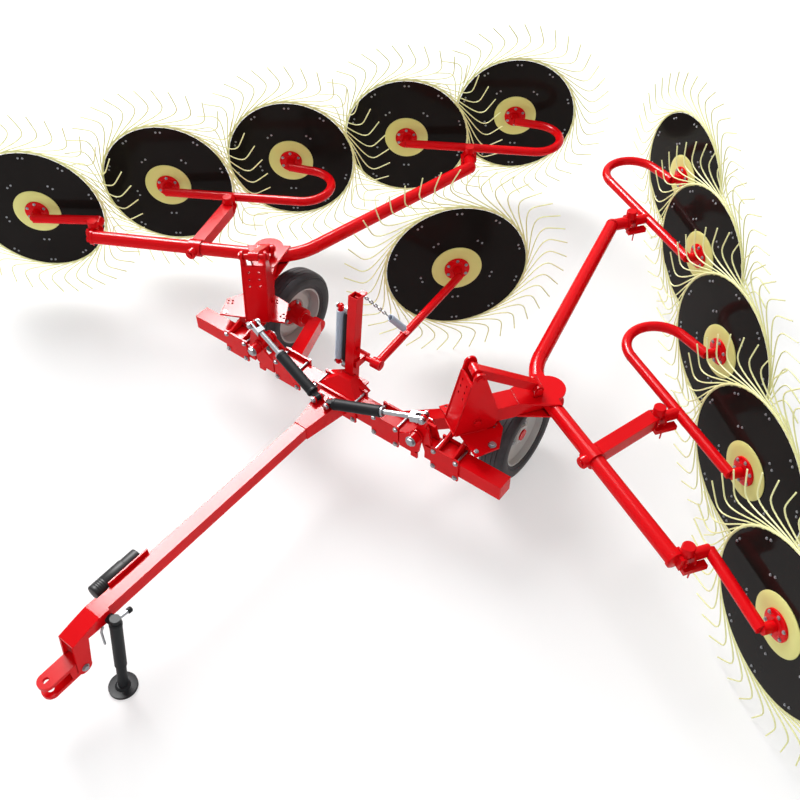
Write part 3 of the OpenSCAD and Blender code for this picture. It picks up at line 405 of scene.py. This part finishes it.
# place along Y, then half width and heights of the two upright seams and of the one across the top
for y, half, low, high, top_half, top in ((-0.933, 0.041, 0.4795, 0.5595, 0.041, 0.560),
                                          (-0.6455, 0.092, 0.470, 0.571, 0.090, 0.572)):
    drawbar_seams += [[(s * half, y, z) for z in (low, high)] for s in (-1, 1)]
    drawbar_seams += [[(s * top_half, y, top) for s in (-1, 1)]]
welded("drawbar_seams", "frame", *drawbar_seams)


# Towers: the top link and the lower arm hang on cross bolts through the side
# plates. A bolt sits in each fan plate's corner, and one on the left sets the width.
pin_nut = bolt("pin_nut", 0.021, 0.016, 0.015, 0.004)
width_bolt = bolt("width_bolt", 0.018, 0.016, 0.007, 0.03)
plate_bolt = bolt("plate_bolt", 0.011, 0.010, 0.006, 0.02)
# distance behind the tower's foot and height of the pins, and half the width over the plates there
tower_pins, tower_half = ((0.126, 1.045), (0.130, 0.720)), 0.0752
link_back, link_height, link_half = 0.494, 0.820, 0.0435
fan_corner, width_hole = Vector((0.216, -0.058, fan_top)), Vector((0.259, 0.030, fan_top))
for side, sign in sides:
    body, outward = f"wing_{side}", flipped(sign) @ tower_side
    ends = [(on_tower(back, s * tower_half, z, sign), outward * s) for back, z in tower_pins for s in (-1, 1)]
    bolted(f"tower_nuts_{side}", body, pin_nut, ends, red_paint)
    bolted(f"fan_bolt_{side}", body, plate_bolt, [(flipped(sign) @ (tower_foot + fan_corner), up)])
    ends = [(on_tower(link_back, s * link_half, link_height, sign), outward * s) for s in (-1, 1)]
    bolted(f"link_nuts_{side}", body, pin_nut, ends, red_paint)
bolted("width_bolt", "wing_left", width_bolt, [(tower_foot + width_hole, up)])


# Lift cylinders: black barrels with a bright gland nut, a ground chrome rod and
# a bright fork. Headed pins hold both ends.
black_paint = painted("black_paint", (0.020, 0.021, 0.023), (0.012, 0.012, 0.014), 0.46,
                      Specular_IOR_Level=0.08)
chrome = bright_metal("chrome_rod", (0.40, 0.41, 0.43), 0.24)
barrel_pin, rod_pin = Vector((0.039, -0.738, 0.600)), Vector((0.621, -0.622, 0.762))
barrel_pin_half, rod_pin_half = 0.0285, 0.0300
reach = rod_pin - barrel_pin
cylinder_rise = Matrix.Rotation(-asin(reach.z / reach.length), 4, "Y")
cylinder_turn = Matrix.Rotation(atan2(reach.y, reach.x), 4, "Z") @ cylinder_rise
z_to_x = Matrix.Rotation(pi / 2, 4, "Y")
gland = joined("gland", zinc,
               lathe([(0.0283, 0.3500), (0.0290, 0.3510), (0.0290, 0.3630),
                      (0.0270, 0.3650), (0.0162, 0.3650), (0.0162, 0.3500)], 40, ring=True))
barrel_base = joined("barrel_base", black_paint,
                     lathe([(0.0335, 0.0410), (0.0350, 0.0425), (0.0350, 0.0560),
                            (0.0335, 0.0580), (0.0300, 0.0580), (0.0300, 0.0410)], 40, ring=True),
                     lathe([(0.0330, 0.3300), (0.0342, 0.3312), (0.0342, 0.3480),
                            (0.0330, 0.3495), (0.0300, 0.3495), (0.0300, 0.3300)], 40, ring=True))
eye_bolt = bolt("eye_bolt", 0.0160, 0.012, 0.0095, 0.004)
for side, sign in sides:
    mirror = flipped(sign)
    along = mirror @ Matrix.Translation(barrel_pin) @ cylinder_turn @ z_to_x
    placed(f"gland_{side}", gland, f"barrel_{side}", along)
    placed(f"barrel_base_{side}", barrel_base, f"barrel_{side}", along)
    across = mirror @ cylinder_turn @ Vector((0, 1, 0))
    for name, body, spot, half in (("barrel_pin", "frame", barrel_pin, barrel_pin_half),
                                   ("rod_pin", f"wing_{side}", rod_pin, rod_pin_half)):
        ends = [(mirror @ spot + across * (s * half), across * s) for s in (1, -1)]
        bolted(f"{name}_{side}", body, eye_bolt, ends)
    nodes[f"barrel_{side}"].data.materials[0] = black_paint
    nodes[f"rod_{side}"].data.materials[0] = chrome


# Mast: a leaning square tube. Beside it stand a black damping strut with zinc
# eyes and a blue tension spring, wound from round wire, with red end lugs.
spring_blue = painted("spring_blue", (0.45, 0.52, 0.63), (0.39, 0.46, 0.56), 0.36)
wires, given, add, end = tree_of("wires", ("Wire radius", "Float"), ("Finish", "Material"))
section = add("GeometryNodeCurvePrimitiveCircle", Resolution=7, Radius=given["Wire radius"])
drawn = add("GeometryNodeCurveToMesh", Curve=given["Geometry"], Profile_Curve=section, Fill_Caps=True)
end(drawn, given["Finish"])


def bent_wire(name, points, radius, finish):
    """The mesh of a round wire through the points."""
    return grown(wires, path_curve(name, points), Wire_radius=radius, Finish=finish)


def coil(radius, low, high, turns, steps=14):
    """Points of a helix about Z."""
    count = turns * steps
    return [polar(radius, tau * k / steps, low + (high - low) * k / count) for k in range(count + 1)]


mast_foot, mast_lean = (0, -0.483, 0.559), radians(-7)
spring_x, strut_x, nut_x = -0.100, -0.054, -0.119
low_eye, high_eye = 0.090, 0.480
on_mast = Matrix.Translation(mast_foot) @ Matrix.Rotation(mast_lean, 4, "X")
on_spring = on_mast @ Matrix.Translation((spring_x, 0, 0))
on_strut = on_mast @ Matrix.Translation((strut_x, 0, 0))
spring_radius, spring_low, spring_high, spring_turns, spring_wire = 0.0208, 0.116, 0.454, 46, 0.0037
spring_path = coil(spring_radius, spring_low, spring_high, spring_turns)
spring_mesh = bent_wire("coil", spring_path, spring_wire, spring_blue)
spring = placed("mast_spring_coil", spring_mesh, "frame", on_spring)
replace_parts(spring, "mast_spring")
lug = joined("lug", red_paint,
             lathe([(0.0165, -0.0085), (0.0185, -0.0065), (0.0185, 0.0065),
                    (0.0165, 0.0085), (0.0085, 0.0085), (0.0085, -0.0085)], 28, ring=True))
plug = joined("plug", red_paint,
              lathe([(0.006, 0.0), (0.008, 0.014), (0.0168, 0.020), (0.0168, 0.034), (0.012, 0.040)], 24))
strut_eye = joined("strut_eye", zinc,
                   lathe([(0.0175, -0.0130), (0.0190, -0.0115), (0.0190, 0.0115),
                          (0.0175, 0.0130), (0.0085, 0.0130), (0.0085, -0.0130)], 28, ring=True))
strut_neck = joined("strut_neck", zinc, lathe([(0.0095, 0.010), (0.0095, 0.034)], 18))
for level, height, flip in (("low", low_eye, 1), ("high", high_eye, -1)):
    upright = Matrix.Translation((0, 0, height)) @ Matrix.Diagonal((1, 1, flip, 1))
    placed(f"spring_lug_{level}", lug, "frame", on_spring @ upright @ z_to_x)
    placed(f"spring_plug_{level}", plug, "frame", on_spring @ upright)
    placed(f"strut_eye_{level}", strut_eye, "frame", on_strut @ upright @ z_to_x)
    placed(f"strut_neck_{level}", strut_neck, "frame", on_strut @ upright)
strut_body = joined("strut_body", black_paint,
                    lathe([(0.0120, 0.118), (0.0185, 0.122), (0.0200, 0.128), (0.0200, 0.330),
                           (0.0190, 0.334), (0.0190, 0.440), (0.0170, 0.450), (0.0110, 0.453)], 36))
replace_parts(placed("strut_body", strut_body, "frame", on_strut), "mast_strut")
strut_nut = bolt("strut_nut", 0.0125, 0.010, 0.007, 0.004)
ends = [(on_mast @ Vector((nut_x, 0, z)), Vector((-1, 0, 0))) for z in (low_eye, high_eye)]
bolted("strut_nuts", "frame", strut_nut, ends)


# Kicker chain and spring: welded steel links hang from the mast's lug, and a
# wound spring with hooked ends joins them to the arm.
def aimed(place, direction, axis):
    """The matrix that moves to a place and turns an axis along a direction."""
    return Matrix.Translation(place) @ direction.to_track_quat(axis, "Y").to_matrix().to_4x4()


chain_top, chain_low = Vector((0, -0.350, 1.115)), Vector((0.1225, -0.1115, 0.7453))
hang = chain_low - chain_top
chain_length, chain_pitch, chain_wire = 0.55 * hang.length, 0.0222, 0.0031
link_count, link_end, link_bend = 11, chain_pitch / 2 + chain_wire, 0.0070
oval = [(link_bend * cos(a), 0, s * (link_end - link_bend) + link_bend * sin(a))
        for s, turn in ((1, 0), (-1, pi)) for a in [turn + pi * k / 7 for k in range(8)]]
chains, given, add, end = tree_of("chains", ("Count", "Int"), ("Pitch", "Float"), ("Wire radius", "Float"))
section = add("GeometryNodeCurvePrimitiveCircle", Resolution=6, Radius=given["Wire radius"])
one_link = add("GeometryNodeCurveToMesh", Curve=given["Geometry"], Profile_Curve=section)
step = add("ShaderNodeCombineXYZ", Z=given["Pitch"])
row = add("GeometryNodeMeshLine", Count=given["Count"], Offset=step)
quarter = add("ShaderNodeMath", {"operation": "MULTIPLY"}, i0=add("GeometryNodeInputIndex"), i1=pi / 2)
quarter = add("FunctionNodeEulerToRotation", Euler=add("ShaderNodeCombineXYZ", Z=quarter))
end(add("GeometryNodeInstanceOnPoints", Points=row, Instance=one_link, Rotation=quarter), zinc)
on_hang = aimed(chain_top, hang, "Z")
links = grown(chains, path_curve("link", oval, closed=True),
              Count=link_count, Pitch=chain_pitch, Wire_radius=chain_wire)
chain = placed("chain_links", links, None, on_hang @ Matrix.Translation((0, 0, link_end + 0.001)))
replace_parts(chain, "kicker_chain")
pull_radius, pull_turns, pull_wire, hook_length = 0.0180, 21, 0.0035, 0.028
hook_low, hook_high = chain_length + hook_length, hang.length - hook_length
hooked = [(0, 0, chain_length - 0.008), (0, 0, hook_low - 0.008), (0.009, 0, hook_low - 0.003)]
hooked += coil(pull_radius, hook_low, hook_high, pull_turns)
hooked += [(0.009, 0, hook_high + 0.003), (0, 0, hook_high + 0.008), (0, 0, hang.length - 0.002)]
pull_mesh = bent_wire("hooked_coil", hooked, pull_wire, spring_blue)
pull = placed("kicker_spring_coil", pull_mesh, None, on_hang)
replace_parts(pull, "kicker_spring")
for piece in (chain, pull):
    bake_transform(piece)


# Jack: a black telescopic parking leg on a swivel at the hitch bracket, with a
# crank on a bright shaft, a lock pin and a pressed round foot.
jack_spot, jack_angle, jack_height = (0.096, -2.470, 0), radians(10), 0.509
crank_rise, collar_drop = 0.009, 0.024
z_to_y = Matrix.Rotation(-pi / 2, 4, "X")
jack_lean = Matrix.Translation(jack_spot) @ Matrix.Rotation(-jack_angle, 4, "X")
jack_top = jack_height / cos(jack_angle)
shaft = joined("shaft", zinc,
               lathe([(0.0090, 0.026), (0.0097, 0.028), (0.0097, 0.076), (0.0090, 0.078)], 20))
crank_end = joined("crank_end", black_paint,
                   lathe([(0.0120, 0.074), (0.0150, 0.077), (0.0150, 0.094), (0.0120, 0.098)], 24))
on_crank = jack_lean @ Matrix.Translation((0, 0, jack_top + crank_rise)) @ z_to_y
placed("crank_shaft", shaft, "frame", on_crank)
placed("crank_end", crank_end, "frame", on_crank)
collar = joined("collar", black_paint,
                lathe([(0.0315, 0.0), (0.0330, 0.0015), (0.0330, 0.0165),
                       (0.0315, 0.018), (0.0290, 0.018), (0.0290, 0.0)], 40, ring=True))
on_collar = jack_lean @ Matrix.Translation((0, 0, jack_top - collar_drop))
placed("jack_collar", collar, "frame", on_collar)
lock_path = [(0.066, -2.430, 0.505), (0.070, -2.444, 0.498), (0.070, -2.450, 0.486),
             (0.068, -2.4525, 0.440), (0.066, -2.456, 0.378)]
placed("jack_lock_pin", bent_wire("lock", lock_path, 0.006, zinc), "frame")
dish = joined("dish", black_paint,
              lathe([(0.0690, 0.0005), (0.0745, 0.0025), (0.0752, 0.0120), (0.0735, 0.0138),
                     (0.0690, 0.0128), (0.0400, 0.0128), (0.0330, 0.0200), (0.0285, 0.0240)], 56))
placed("jack_dish", dish, "jack_foot", Matrix.Translation(jack_spot))
for name in ("jack_tube", "jack_leg"):
    nodes[name].data.materials[0] = black_paint


# Hitch: folded and welded side plates, in the frame's red, carry the clevis on
# one bright cross bolt.
clevis_half, clevis_y, clevis_height = 0.052, -2.582, 0.319
clevis_bolt = bolt("clevis_bolt", 0.0165, 0.013, 0.010, 0.02)
ends = [((s * clevis_half, clevis_y, clevis_height), Vector((s, 0, 0))) for s in (-1, 1)]
bolted("clevis_bolts", "frame", clevis_bolt, ends)


# Document tube: a blow moulded plastic canister with a screw cap, on a red strip
# beside the drawbar.
def block(low, high):
    """Points and faces of a box between two corners."""
    points = [(x, y, z) for x in (low[0], high[0]) for y in (low[1], high[1]) for z in (low[2], high[2])]
    return points, [(0, 1, 3, 2), (4, 6, 7, 5), (0, 4, 5, 1), (2, 3, 7, 6), (0, 2, 6, 4), (1, 5, 7, 3)]


tube_strip = joined("tube_strip", red_paint, block((-0.050, -2.280, 0.520), (-0.042, -2.030, 0.586)))
placed("tube_strip", tube_strip, "frame")
tube_plastic = painted("tube_plastic", (0.016, 0.016, 0.017), (0.010, 0.010, 0.011), 0.48,
                       Specular_IOR_Level=0.14)
tube_radius, groove_radius, cap_radius = 0.0455, 0.0445, 0.0425
groove_count, first_groove, groove_pitch = 5, 0.020, 0.012
tube = [(0.0370, 0.0010), (0.0430, 0.0030), (tube_radius, 0.0090)]
for number in range(groove_count):
    start = first_groove + groove_pitch * number
    tube += [(tube_radius, start), (groove_radius, start + 0.0015),
             (groove_radius, start + 0.0045), (tube_radius, start + 0.006)]
tube += [(tube_radius, 0.1960), (0.0440, 0.1995), (cap_radius, 0.2010),
         (cap_radius, 0.2780), (0.0410, 0.2850), (0.0350, 0.2875)]
tube_front = Matrix.Translation((-0.0958, -2.347, 0.520))
tube_mesh = joined("canister", tube_plastic, lathe(tube, 48))
canister = placed("document_canister", tube_mesh, "frame", tube_front @ z_to_y)
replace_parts(canister, "document_tube")


# Ground wheels: ribbed implement tyres of black rubber on dished grey discs,
# bolted to a red hub on the stub axle.
rubber, place, link = finish_of("tyre_rubber", Specular_IOR_Level=0.2)
dust = place.noise(14.0, 4.0)
smooth = place.make("ShaderNodeNewGeometry", output=1)
link(Base_Color=place.mix(dust.ramp(0.35, 0.75), (0.034, 0.032, 0.036, 1), (0.052, 0.049, 0.054, 1)),
     Roughness=dust * 0.2 + 0.42,
     Normal=place.noise(160.0, 3.0).bump(0.15, 0.002, smooth))
rim_grey = painted("rim_grey", (0.54, 0.55, 0.54), (0.48, 0.49, 0.48), 0.42, Specular_IOR_Level=0.3)
# radius and half width of the tyre from its bead over the side to the tread's grooves
side_wall = [(0.1995, 0.071), (0.208, 0.076), (0.214, 0.079), (0.216, 0.0775), (0.219, 0.0815),
             (0.232, 0.0850), (0.246, 0.0860), (0.259, 0.0850), (0.272, 0.0800), (0.2735, 0.0765),
             (0.2775, 0.0760), (0.2795, 0.0780), (0.289, 0.0710), (0.298, 0.0600), (0.3025, 0.0510),
             (0.3033, 0.0455), (0.3000, 0.0448), (0.3000, 0.0420), (0.3048, 0.0412),
             (0.3060, 0.0205), (0.3025, 0.0198), (0.3025, 0.0170), (0.3065, 0.0162)]
tyre_loop = [(r, -z) for r, z in side_wall] + side_wall[::-1]
tyre_mesh = joined("tyre", rubber, lathe(tyre_loop, 96, ring=True))
hub_red = joined("hub_red", red_paint,
                 lathe([(0.0600, -0.1065), (0.0620, -0.1058), (0.0620, -0.1040),
                        (0.0365, -0.1040), (0.0365, -0.1065)], 48, ring=True),
                 lathe([(0.0605, -0.1045), (0.0630, -0.1030), (0.0630, -0.0120),
                        (0.0860, -0.0050), (0.0860, 0.0040), (0.0830, 0.0060),
                        (0.0602, 0.0060), (0.0602, -0.1045)], 48, ring=True))
lug_nut = bolt("lug_nut", 0.0115, 0.014, 0.006, 0.004)
lug_count, lug_circle, lug_outside, lug_inside = 5, 0.075, 0.0180, -0.0050
axle_middle = Matrix.Translation((0.883, -0.039, 0.307))
for side, sign in sides:
    body = f"ground_wheel_{side}"
    axle = flipped(sign) @ axle_middle @ z_to_x
    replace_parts(placed(f"tyre_ribbed_{side}", tyre_mesh, body, axle), f"tyre_{side}")
    placed(f"wheel_hub_{side}", hub_red, body, axle)
    ends = [(axle @ Vector(polar(lug_circle, tau * k / lug_count, z)), Vector((sign * s, 0, 0)))
            for z, s in ((lug_outside, 1), (lug_inside, -1)) for k in range(lug_count)]
    bolted(f"lug_nuts_{side}", body, lug_nut, ends)
    nodes[f"rim_{side}"].data.materials[0] = rim_grey


# Rake wheels: forty spring wires run from the hub to a round rim and past it,
# cold bent to a swept curve with a cranked tip, all painted a pale straw yellow.
tip_radius, tine_wire, tine_count = 0.7165, 0.0040, 40
rim_radius, rim_wire = 0.456, 0.0078
# radius from the hub in metres, sweep in degrees
tine_bends = [(0.090, -22.0), (0.436, -22.0), (0.450, -20.0), (0.458, -15.5), (0.465, -10.5), (0.474, -5.5),
              (0.485, -0.8), (0.499, 3.6), (0.517, 7.8), (0.540, 11.4), (0.563, 13.8), (0.584, 14.8),
              (0.602, 15.0), (0.622, 14.4), (0.650, 12.9), (tip_radius, 9.6)]
tine_paint = painted("tine_paint", (0.88, 0.88, 0.46), (0.83, 0.83, 0.40), 0.40, Specular_IOR_Level=0.2)
tines, given, add, end = tree_of("tines", ("Count", "Int"), ("Wire radius", "Float"),
                                 ("Rim radius", "Float"), ("Rim wire", "Float"))
section = add("GeometryNodeCurvePrimitiveCircle", Resolution=6, Radius=given["Wire radius"])
one_tine = add("GeometryNodeCurveToMesh", Curve=given["Geometry"], Profile_Curve=section, Fill_Caps=True)
spots = add("GeometryNodeMeshLine", Count=given["Count"], Offset=(0, 0, 0))
turn = add("ShaderNodeMath", {"operation": "DIVIDE"}, i0=add("GeometryNodeInputIndex"), i1=given["Count"])
turn = add("ShaderNodeMath", {"operation": "MULTIPLY"}, i0=turn, i1=tau)
turn = add("FunctionNodeEulerToRotation", Euler=add("ShaderNodeCombineXYZ", Z=turn))
ring = add("GeometryNodeInstanceOnPoints", Points=spots, Instance=one_tine, Rotation=turn)
hoop = add("GeometryNodeCurvePrimitiveCircle", Resolution=96, Radius=given["Rim radius"])
section = add("GeometryNodeCurvePrimitiveCircle", Resolution=8, Radius=given["Rim wire"])
hoop = add("GeometryNodeCurveToMesh", Curve=hoop, Profile_Curve=section)
end(add("GeometryNodeJoinGeometry", Geometry=[ring, hoop]), tine_paint)
tine_path = path_curve("tine", [polar(r, radians(a)) for r, a in tine_bends])
tine_mesh = grown(tines, tine_path, Count=tine_count, Wire_radius=tine_wire,
                  Rim_radius=rim_radius, Rim_wire=rim_wire)

wheel_height = 0.72
front_hub, hub_step = Vector((2.617, -0.635, wheel_height)), Vector((-0.478, 0.754, 0))
kicker_hub = Vector((0, 0.581, wheel_height))
# the way from each wheel to its arm, in degrees about Z
wing_heading, kicker_heading = 235.0, -45.0


def hub_of(number):
    """The middle of a left rake wheel, counted from the front."""
    return front_hub + hub_step * (number - 1)


def wheel_at(hub, heading):
    """The matrix that puts a wheel's mesh on its hub, with Z along the heading."""
    return Matrix.Translation(hub) @ Matrix.Rotation(radians(heading), 4, "Z") @ z_to_x


wheels = {"kicker": ("kicker_wheel", wheel_at(kicker_hub, kicker_heading))}
for side, sign in sides:
    for number in range(1, 6):
        matrix = flipped(sign) @ wheel_at(hub_of(number), wing_heading)
        wheels[f"{side}_{number}"] = (f"rake_wheel_{side}_{number}", matrix)
for wheel, (body, matrix) in wheels.items():
    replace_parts(placed(f"tines_{wheel}", tine_mesh, body, matrix), f"tined_wheel_{wheel}")


# Hubs: two pressed discs clamp the wind guard and the inner ends of the tines,
# and a red bolted flange on the bearing housing holds them.
hub_khaki = painted("hub_khaki", (0.75, 0.72, 0.26), (0.69, 0.66, 0.22), 0.40, Specular_IOR_Level=0.2)
hub_disc = joined("hub_disc", hub_khaki,
                  lathe([(0.158, 0.0078), (0.160, 0.0090), (0.160, 0.0120),
                         (0.157, 0.0135), (0.120, 0.0145), (0.060, 0.0145)], 64),
                  lathe([(0.060, -0.0120), (0.150, -0.0120), (0.156, -0.0100), (0.156, -0.0045)], 64))
hub_flange = joined("hub_flange", red_paint,
                    lathe([(0.080, 0.0135), (0.080, 0.0235), (0.077, 0.0255),
                           (0.052, 0.0260), (0.046, 0.0315), (0.040, 0.0315)], 64),
                    lathe([(0.040, -0.046), (0.042, -0.044), (0.042, -0.0030)], 48))
hub_bolt = bolt("hub_bolt", 0.0085, 0.0080, 0.005, 0.004)
hub_bolt_count, hub_bolt_circle, flange_face = 6, 0.065, 0.0257
for wheel, (body, matrix) in wheels.items():
    placed(f"hub_disc_{wheel}", hub_disc, body, matrix)
    placed(f"hub_flange_{wheel}", hub_flange, body, matrix)
    facing = matrix.to_3x3() @ up
    turns = [tau * k / hub_bolt_count for k in range(hub_bolt_count)]
    seats = [(matrix @ Vector(polar(hub_bolt_circle, a, flange_face)), facing) for a in turns]
    bolted(f"hub_bolts_{wheel}", body, hub_bolt, seats)


# Wind guards: thin polished plastic discs that keep short hay from passing
# through the wheel. Pairs of small zinc bolts clip them to the tines.
guard_black, place, link = finish_of("wind_guard", Specular_IOR_Level=0.05)
haze = place.noise(3.0, 3.0)
link(Base_Color=place.mix(haze.ramp(0.3, 0.7), (0.0098, 0.0080, 0.0073, 1), (0.0126, 0.0105, 0.0096, 1)),
     Roughness=haze * 0.10 + 0.05)
guard_bolt = bolt("guard_bolt", 0.0058, 0.0060, 0.003, 0.012)
guard_face = 0.0075
# radius, number of pairs and half the angle between a pair's bolts
guard_rows = ((0.411, 10, 2.1), (0.236, 5, 4.2))
for wheel, (body, matrix) in wheels.items():
    nodes[f"windguard_{wheel}"].data.materials[0] = guard_black
    facing = matrix.to_3x3() @ up
    seats = []
    for radius, pairs, half in guard_rows:
        turns = [tau * k / pairs + s * radians(half) for k in range(pairs) for s in (-1, 1)]
        seats += [(matrix @ Vector(polar(radius, a, guard_face)), facing) for a in turns]
    bolted(f"guard_bolts_{wheel}", body, guard_bolt, seats)


# Arms and rockers: bent tubes on cheek brackets, held by painted nuts on the
# pivot pins. Each bracket has a bush on top, a stop bar below and a lock pin.
def shifted(shape, offset):
    """The same shape, moved."""
    points, faces = shape
    return [tuple(Vector(point) + Vector(offset)) for point in points], faces


pivot_nut = bolt("pivot_nut", 0.025, 0.018, 0.018, 0.004)
bush = lathe([(0.031, 0.034), (0.034, 0.036), (0.034, 0.084), (0.031, 0.088)], 32)
stop_bar = block((-0.060, -0.078, -0.064), (-0.020, 0.050, -0.034))
lock_pin = lathe([(0.003, -0.130), (0.0045, -0.127), (0.0045, -0.058)], 10)
pivot_trim = joined("pivot_trim", red_paint,
                    shifted(bush, (0, 0.020, 0)), stop_bar, shifted(lock_pin, (-0.042, 0, 0)))
beam_cap = joined("beam_cap", red_paint,
                  lathe([(0.046, -0.012), (0.050, -0.009), (0.050, 0.007), (0.046, 0.010)], 48))
clamp_boss = joined("clamp_boss", red_paint,
                    lathe([(0.034, 0.040), (0.034, 0.080), (0.031, 0.084),
                           (0.016, 0.084), (0.016, 0.092)], 32))
wheel_aside, wheel_along = -tower_back, -tower_side
rocker_along, beam_along = [Vector(polar(1.0, radians(heading))) for heading in (149.7, 152.3)]
# from a wheel's middle aside to the plane of the arms, and there along to the pivots
arm_aside, front_reach, rocker_reach = 0.204, 0.450, 0.468
# from that plane aside to the nuts' seats, the beam and the rocker's stub, and along the beam to the stub
nut_aside, beam_aside, stub_aside, stub_reach = 0.0505, 0.076, 0.045, 0.708
hubs = {number: hub_of(number) + wheel_aside * arm_aside for number in (1, 2, 4)}
pivots = [hubs[1] + wheel_along * front_reach]
pivots += [hubs[number] + rocker_along * rocker_reach for number in (2, 4)]
pivot_axes = Matrix((wheel_along, wheel_aside, up)).transposed().to_4x4()
beam_front = hubs[1] + wheel_aside * beam_aside + wheel_along * front_reach
stub_start = beam_front + beam_along * stub_reach
cap_place = aimed(beam_front, beam_along, "-Z")
boss_place = aimed(stub_start, stub_start - pivots[1] - wheel_aside * stub_aside, "Z")
for side, sign in sides:
    body, mirror = f"wing_{side}", flipped(sign)
    ends = [(mirror @ (spot + wheel_aside * nut_aside), mirror @ wheel_aside) for spot in pivots]
    bolted(f"pivot_nuts_{side}", body, pivot_nut, ends, red_paint)
    for number, spot in enumerate(pivots):
        matrix = mirror @ Matrix.Translation(spot) @ pivot_axes
        placed(f"pivot_trim_{side}_{number}", pivot_trim, body, matrix)
    placed(f"beam_cap_{side}", beam_cap, body, mirror @ cap_place)
    placed(f"clamp_boss_{side}", clamp_boss, body, mirror @ boss_place)


# Studio: a seamless white floor under one large softbox up behind the right
# wing, with even white fill all round and a long panel that only glosses mirror.
floor_half = 60
floor_mesh = bpy.data.meshes.new("floor")
floor_corners = [(x * floor_half, y * floor_half, 0) for x, y in ((-1, -1), (1, -1), (1, 1), (-1, 1))]
floor_mesh.from_pydata(floor_corners, [], [(0, 1, 2, 3)])
floor = in_scene("floor", floor_mesh)
floor_white, place, link = finish_of("floor_white", Roughness=0.9, Specular_IOR_Level=0.0)
link(Base_Color=place.mix(place.noise(0.5, 1.0), (0.94, 0.94, 0.94, 1), (0.96, 0.96, 0.96, 1)))


def seen(place):
    """One for camera and glossy rays, nought for the rays that carry the light."""
    camera_ray = place.make("ShaderNodeLightPath")
    glossy_ray = Wire(place.tree, camera_ray.socket.node.outputs["Is Glossy Ray"])
    return place.maths("MAXIMUM", camera_ray, glossy_ray)


floor_glow = 0.45
floor_nodes = floor_white.node_tree.nodes
lit = Wire(place.tree, floor_nodes["Principled BSDF"].outputs[0])
glow = place.make("ShaderNodeEmission", Color=(1, 1, 1, 1), Strength=1.0)
whiten = place.make("ShaderNodeMixShader", i0=seen(place) * floor_glow, i1=lit, i2=glow)
place.tree.links.new(whiten.socket, floor_nodes["Material Output"].inputs["Surface"])
floor_mesh.materials.append(floor_white)

lamp = bpy.data.lights.new("softbox", "AREA")
lamp.shape, lamp.size, lamp.size_y, lamp.energy = "RECTANGLE", 7.5, 13.5, 3300.0
lamp_place, lamp_target = Vector((-10.5, 4.5, 12.5)), Vector((0, 0, 0.5))
softbox = in_scene("softbox", lamp)
softbox.matrix_world = aimed(lamp_place, lamp_target - lamp_place, "-Z")

shine = bpy.data.lights.new("gloss_panel", "AREA")
shine.shape, shine.size, shine.size_y, shine.energy = "RECTANGLE", 3.6, 6.9, 7200.0
shine_place = Vector((-6.3, 3.1, 8.4))
gloss_panel = in_scene("gloss_panel", shine)
gloss_panel.matrix_world = Matrix.Translation(shine_place)
gloss_panel.visible_diffuse = False

fill_light, fill_seen = 0.65, 0.35
world = bpy.data.worlds.new("studio")
world.use_nodes = True
bpy.context.scene.world = world
sky = world.node_tree.nodes["Background"]
sky.inputs["Color"].default_value = (1, 1, 1, 1)
fill = seen(Wire(world.node_tree, sky.outputs[0])) * fill_seen + fill_light
world.node_tree.links.new(fill.socket, sky.inputs["Strength"])

eye = bpy.data.cameras.new("camera")
eye.lens, eye.sensor_width, eye.clip_end = 42.6, 36.0, 200.0
eye_place, eye_view = Vector((2.583, -3.418, 4.506)), Vector((-0.4155, 0.5478, -0.7262))
camera = in_scene("camera", eye)
camera.matrix_world = aimed(eye_place, eye_view, "-Z")
bpy.context.scene.camera = camera
bpy.context.scene.view_settings.view_transform = "Standard"
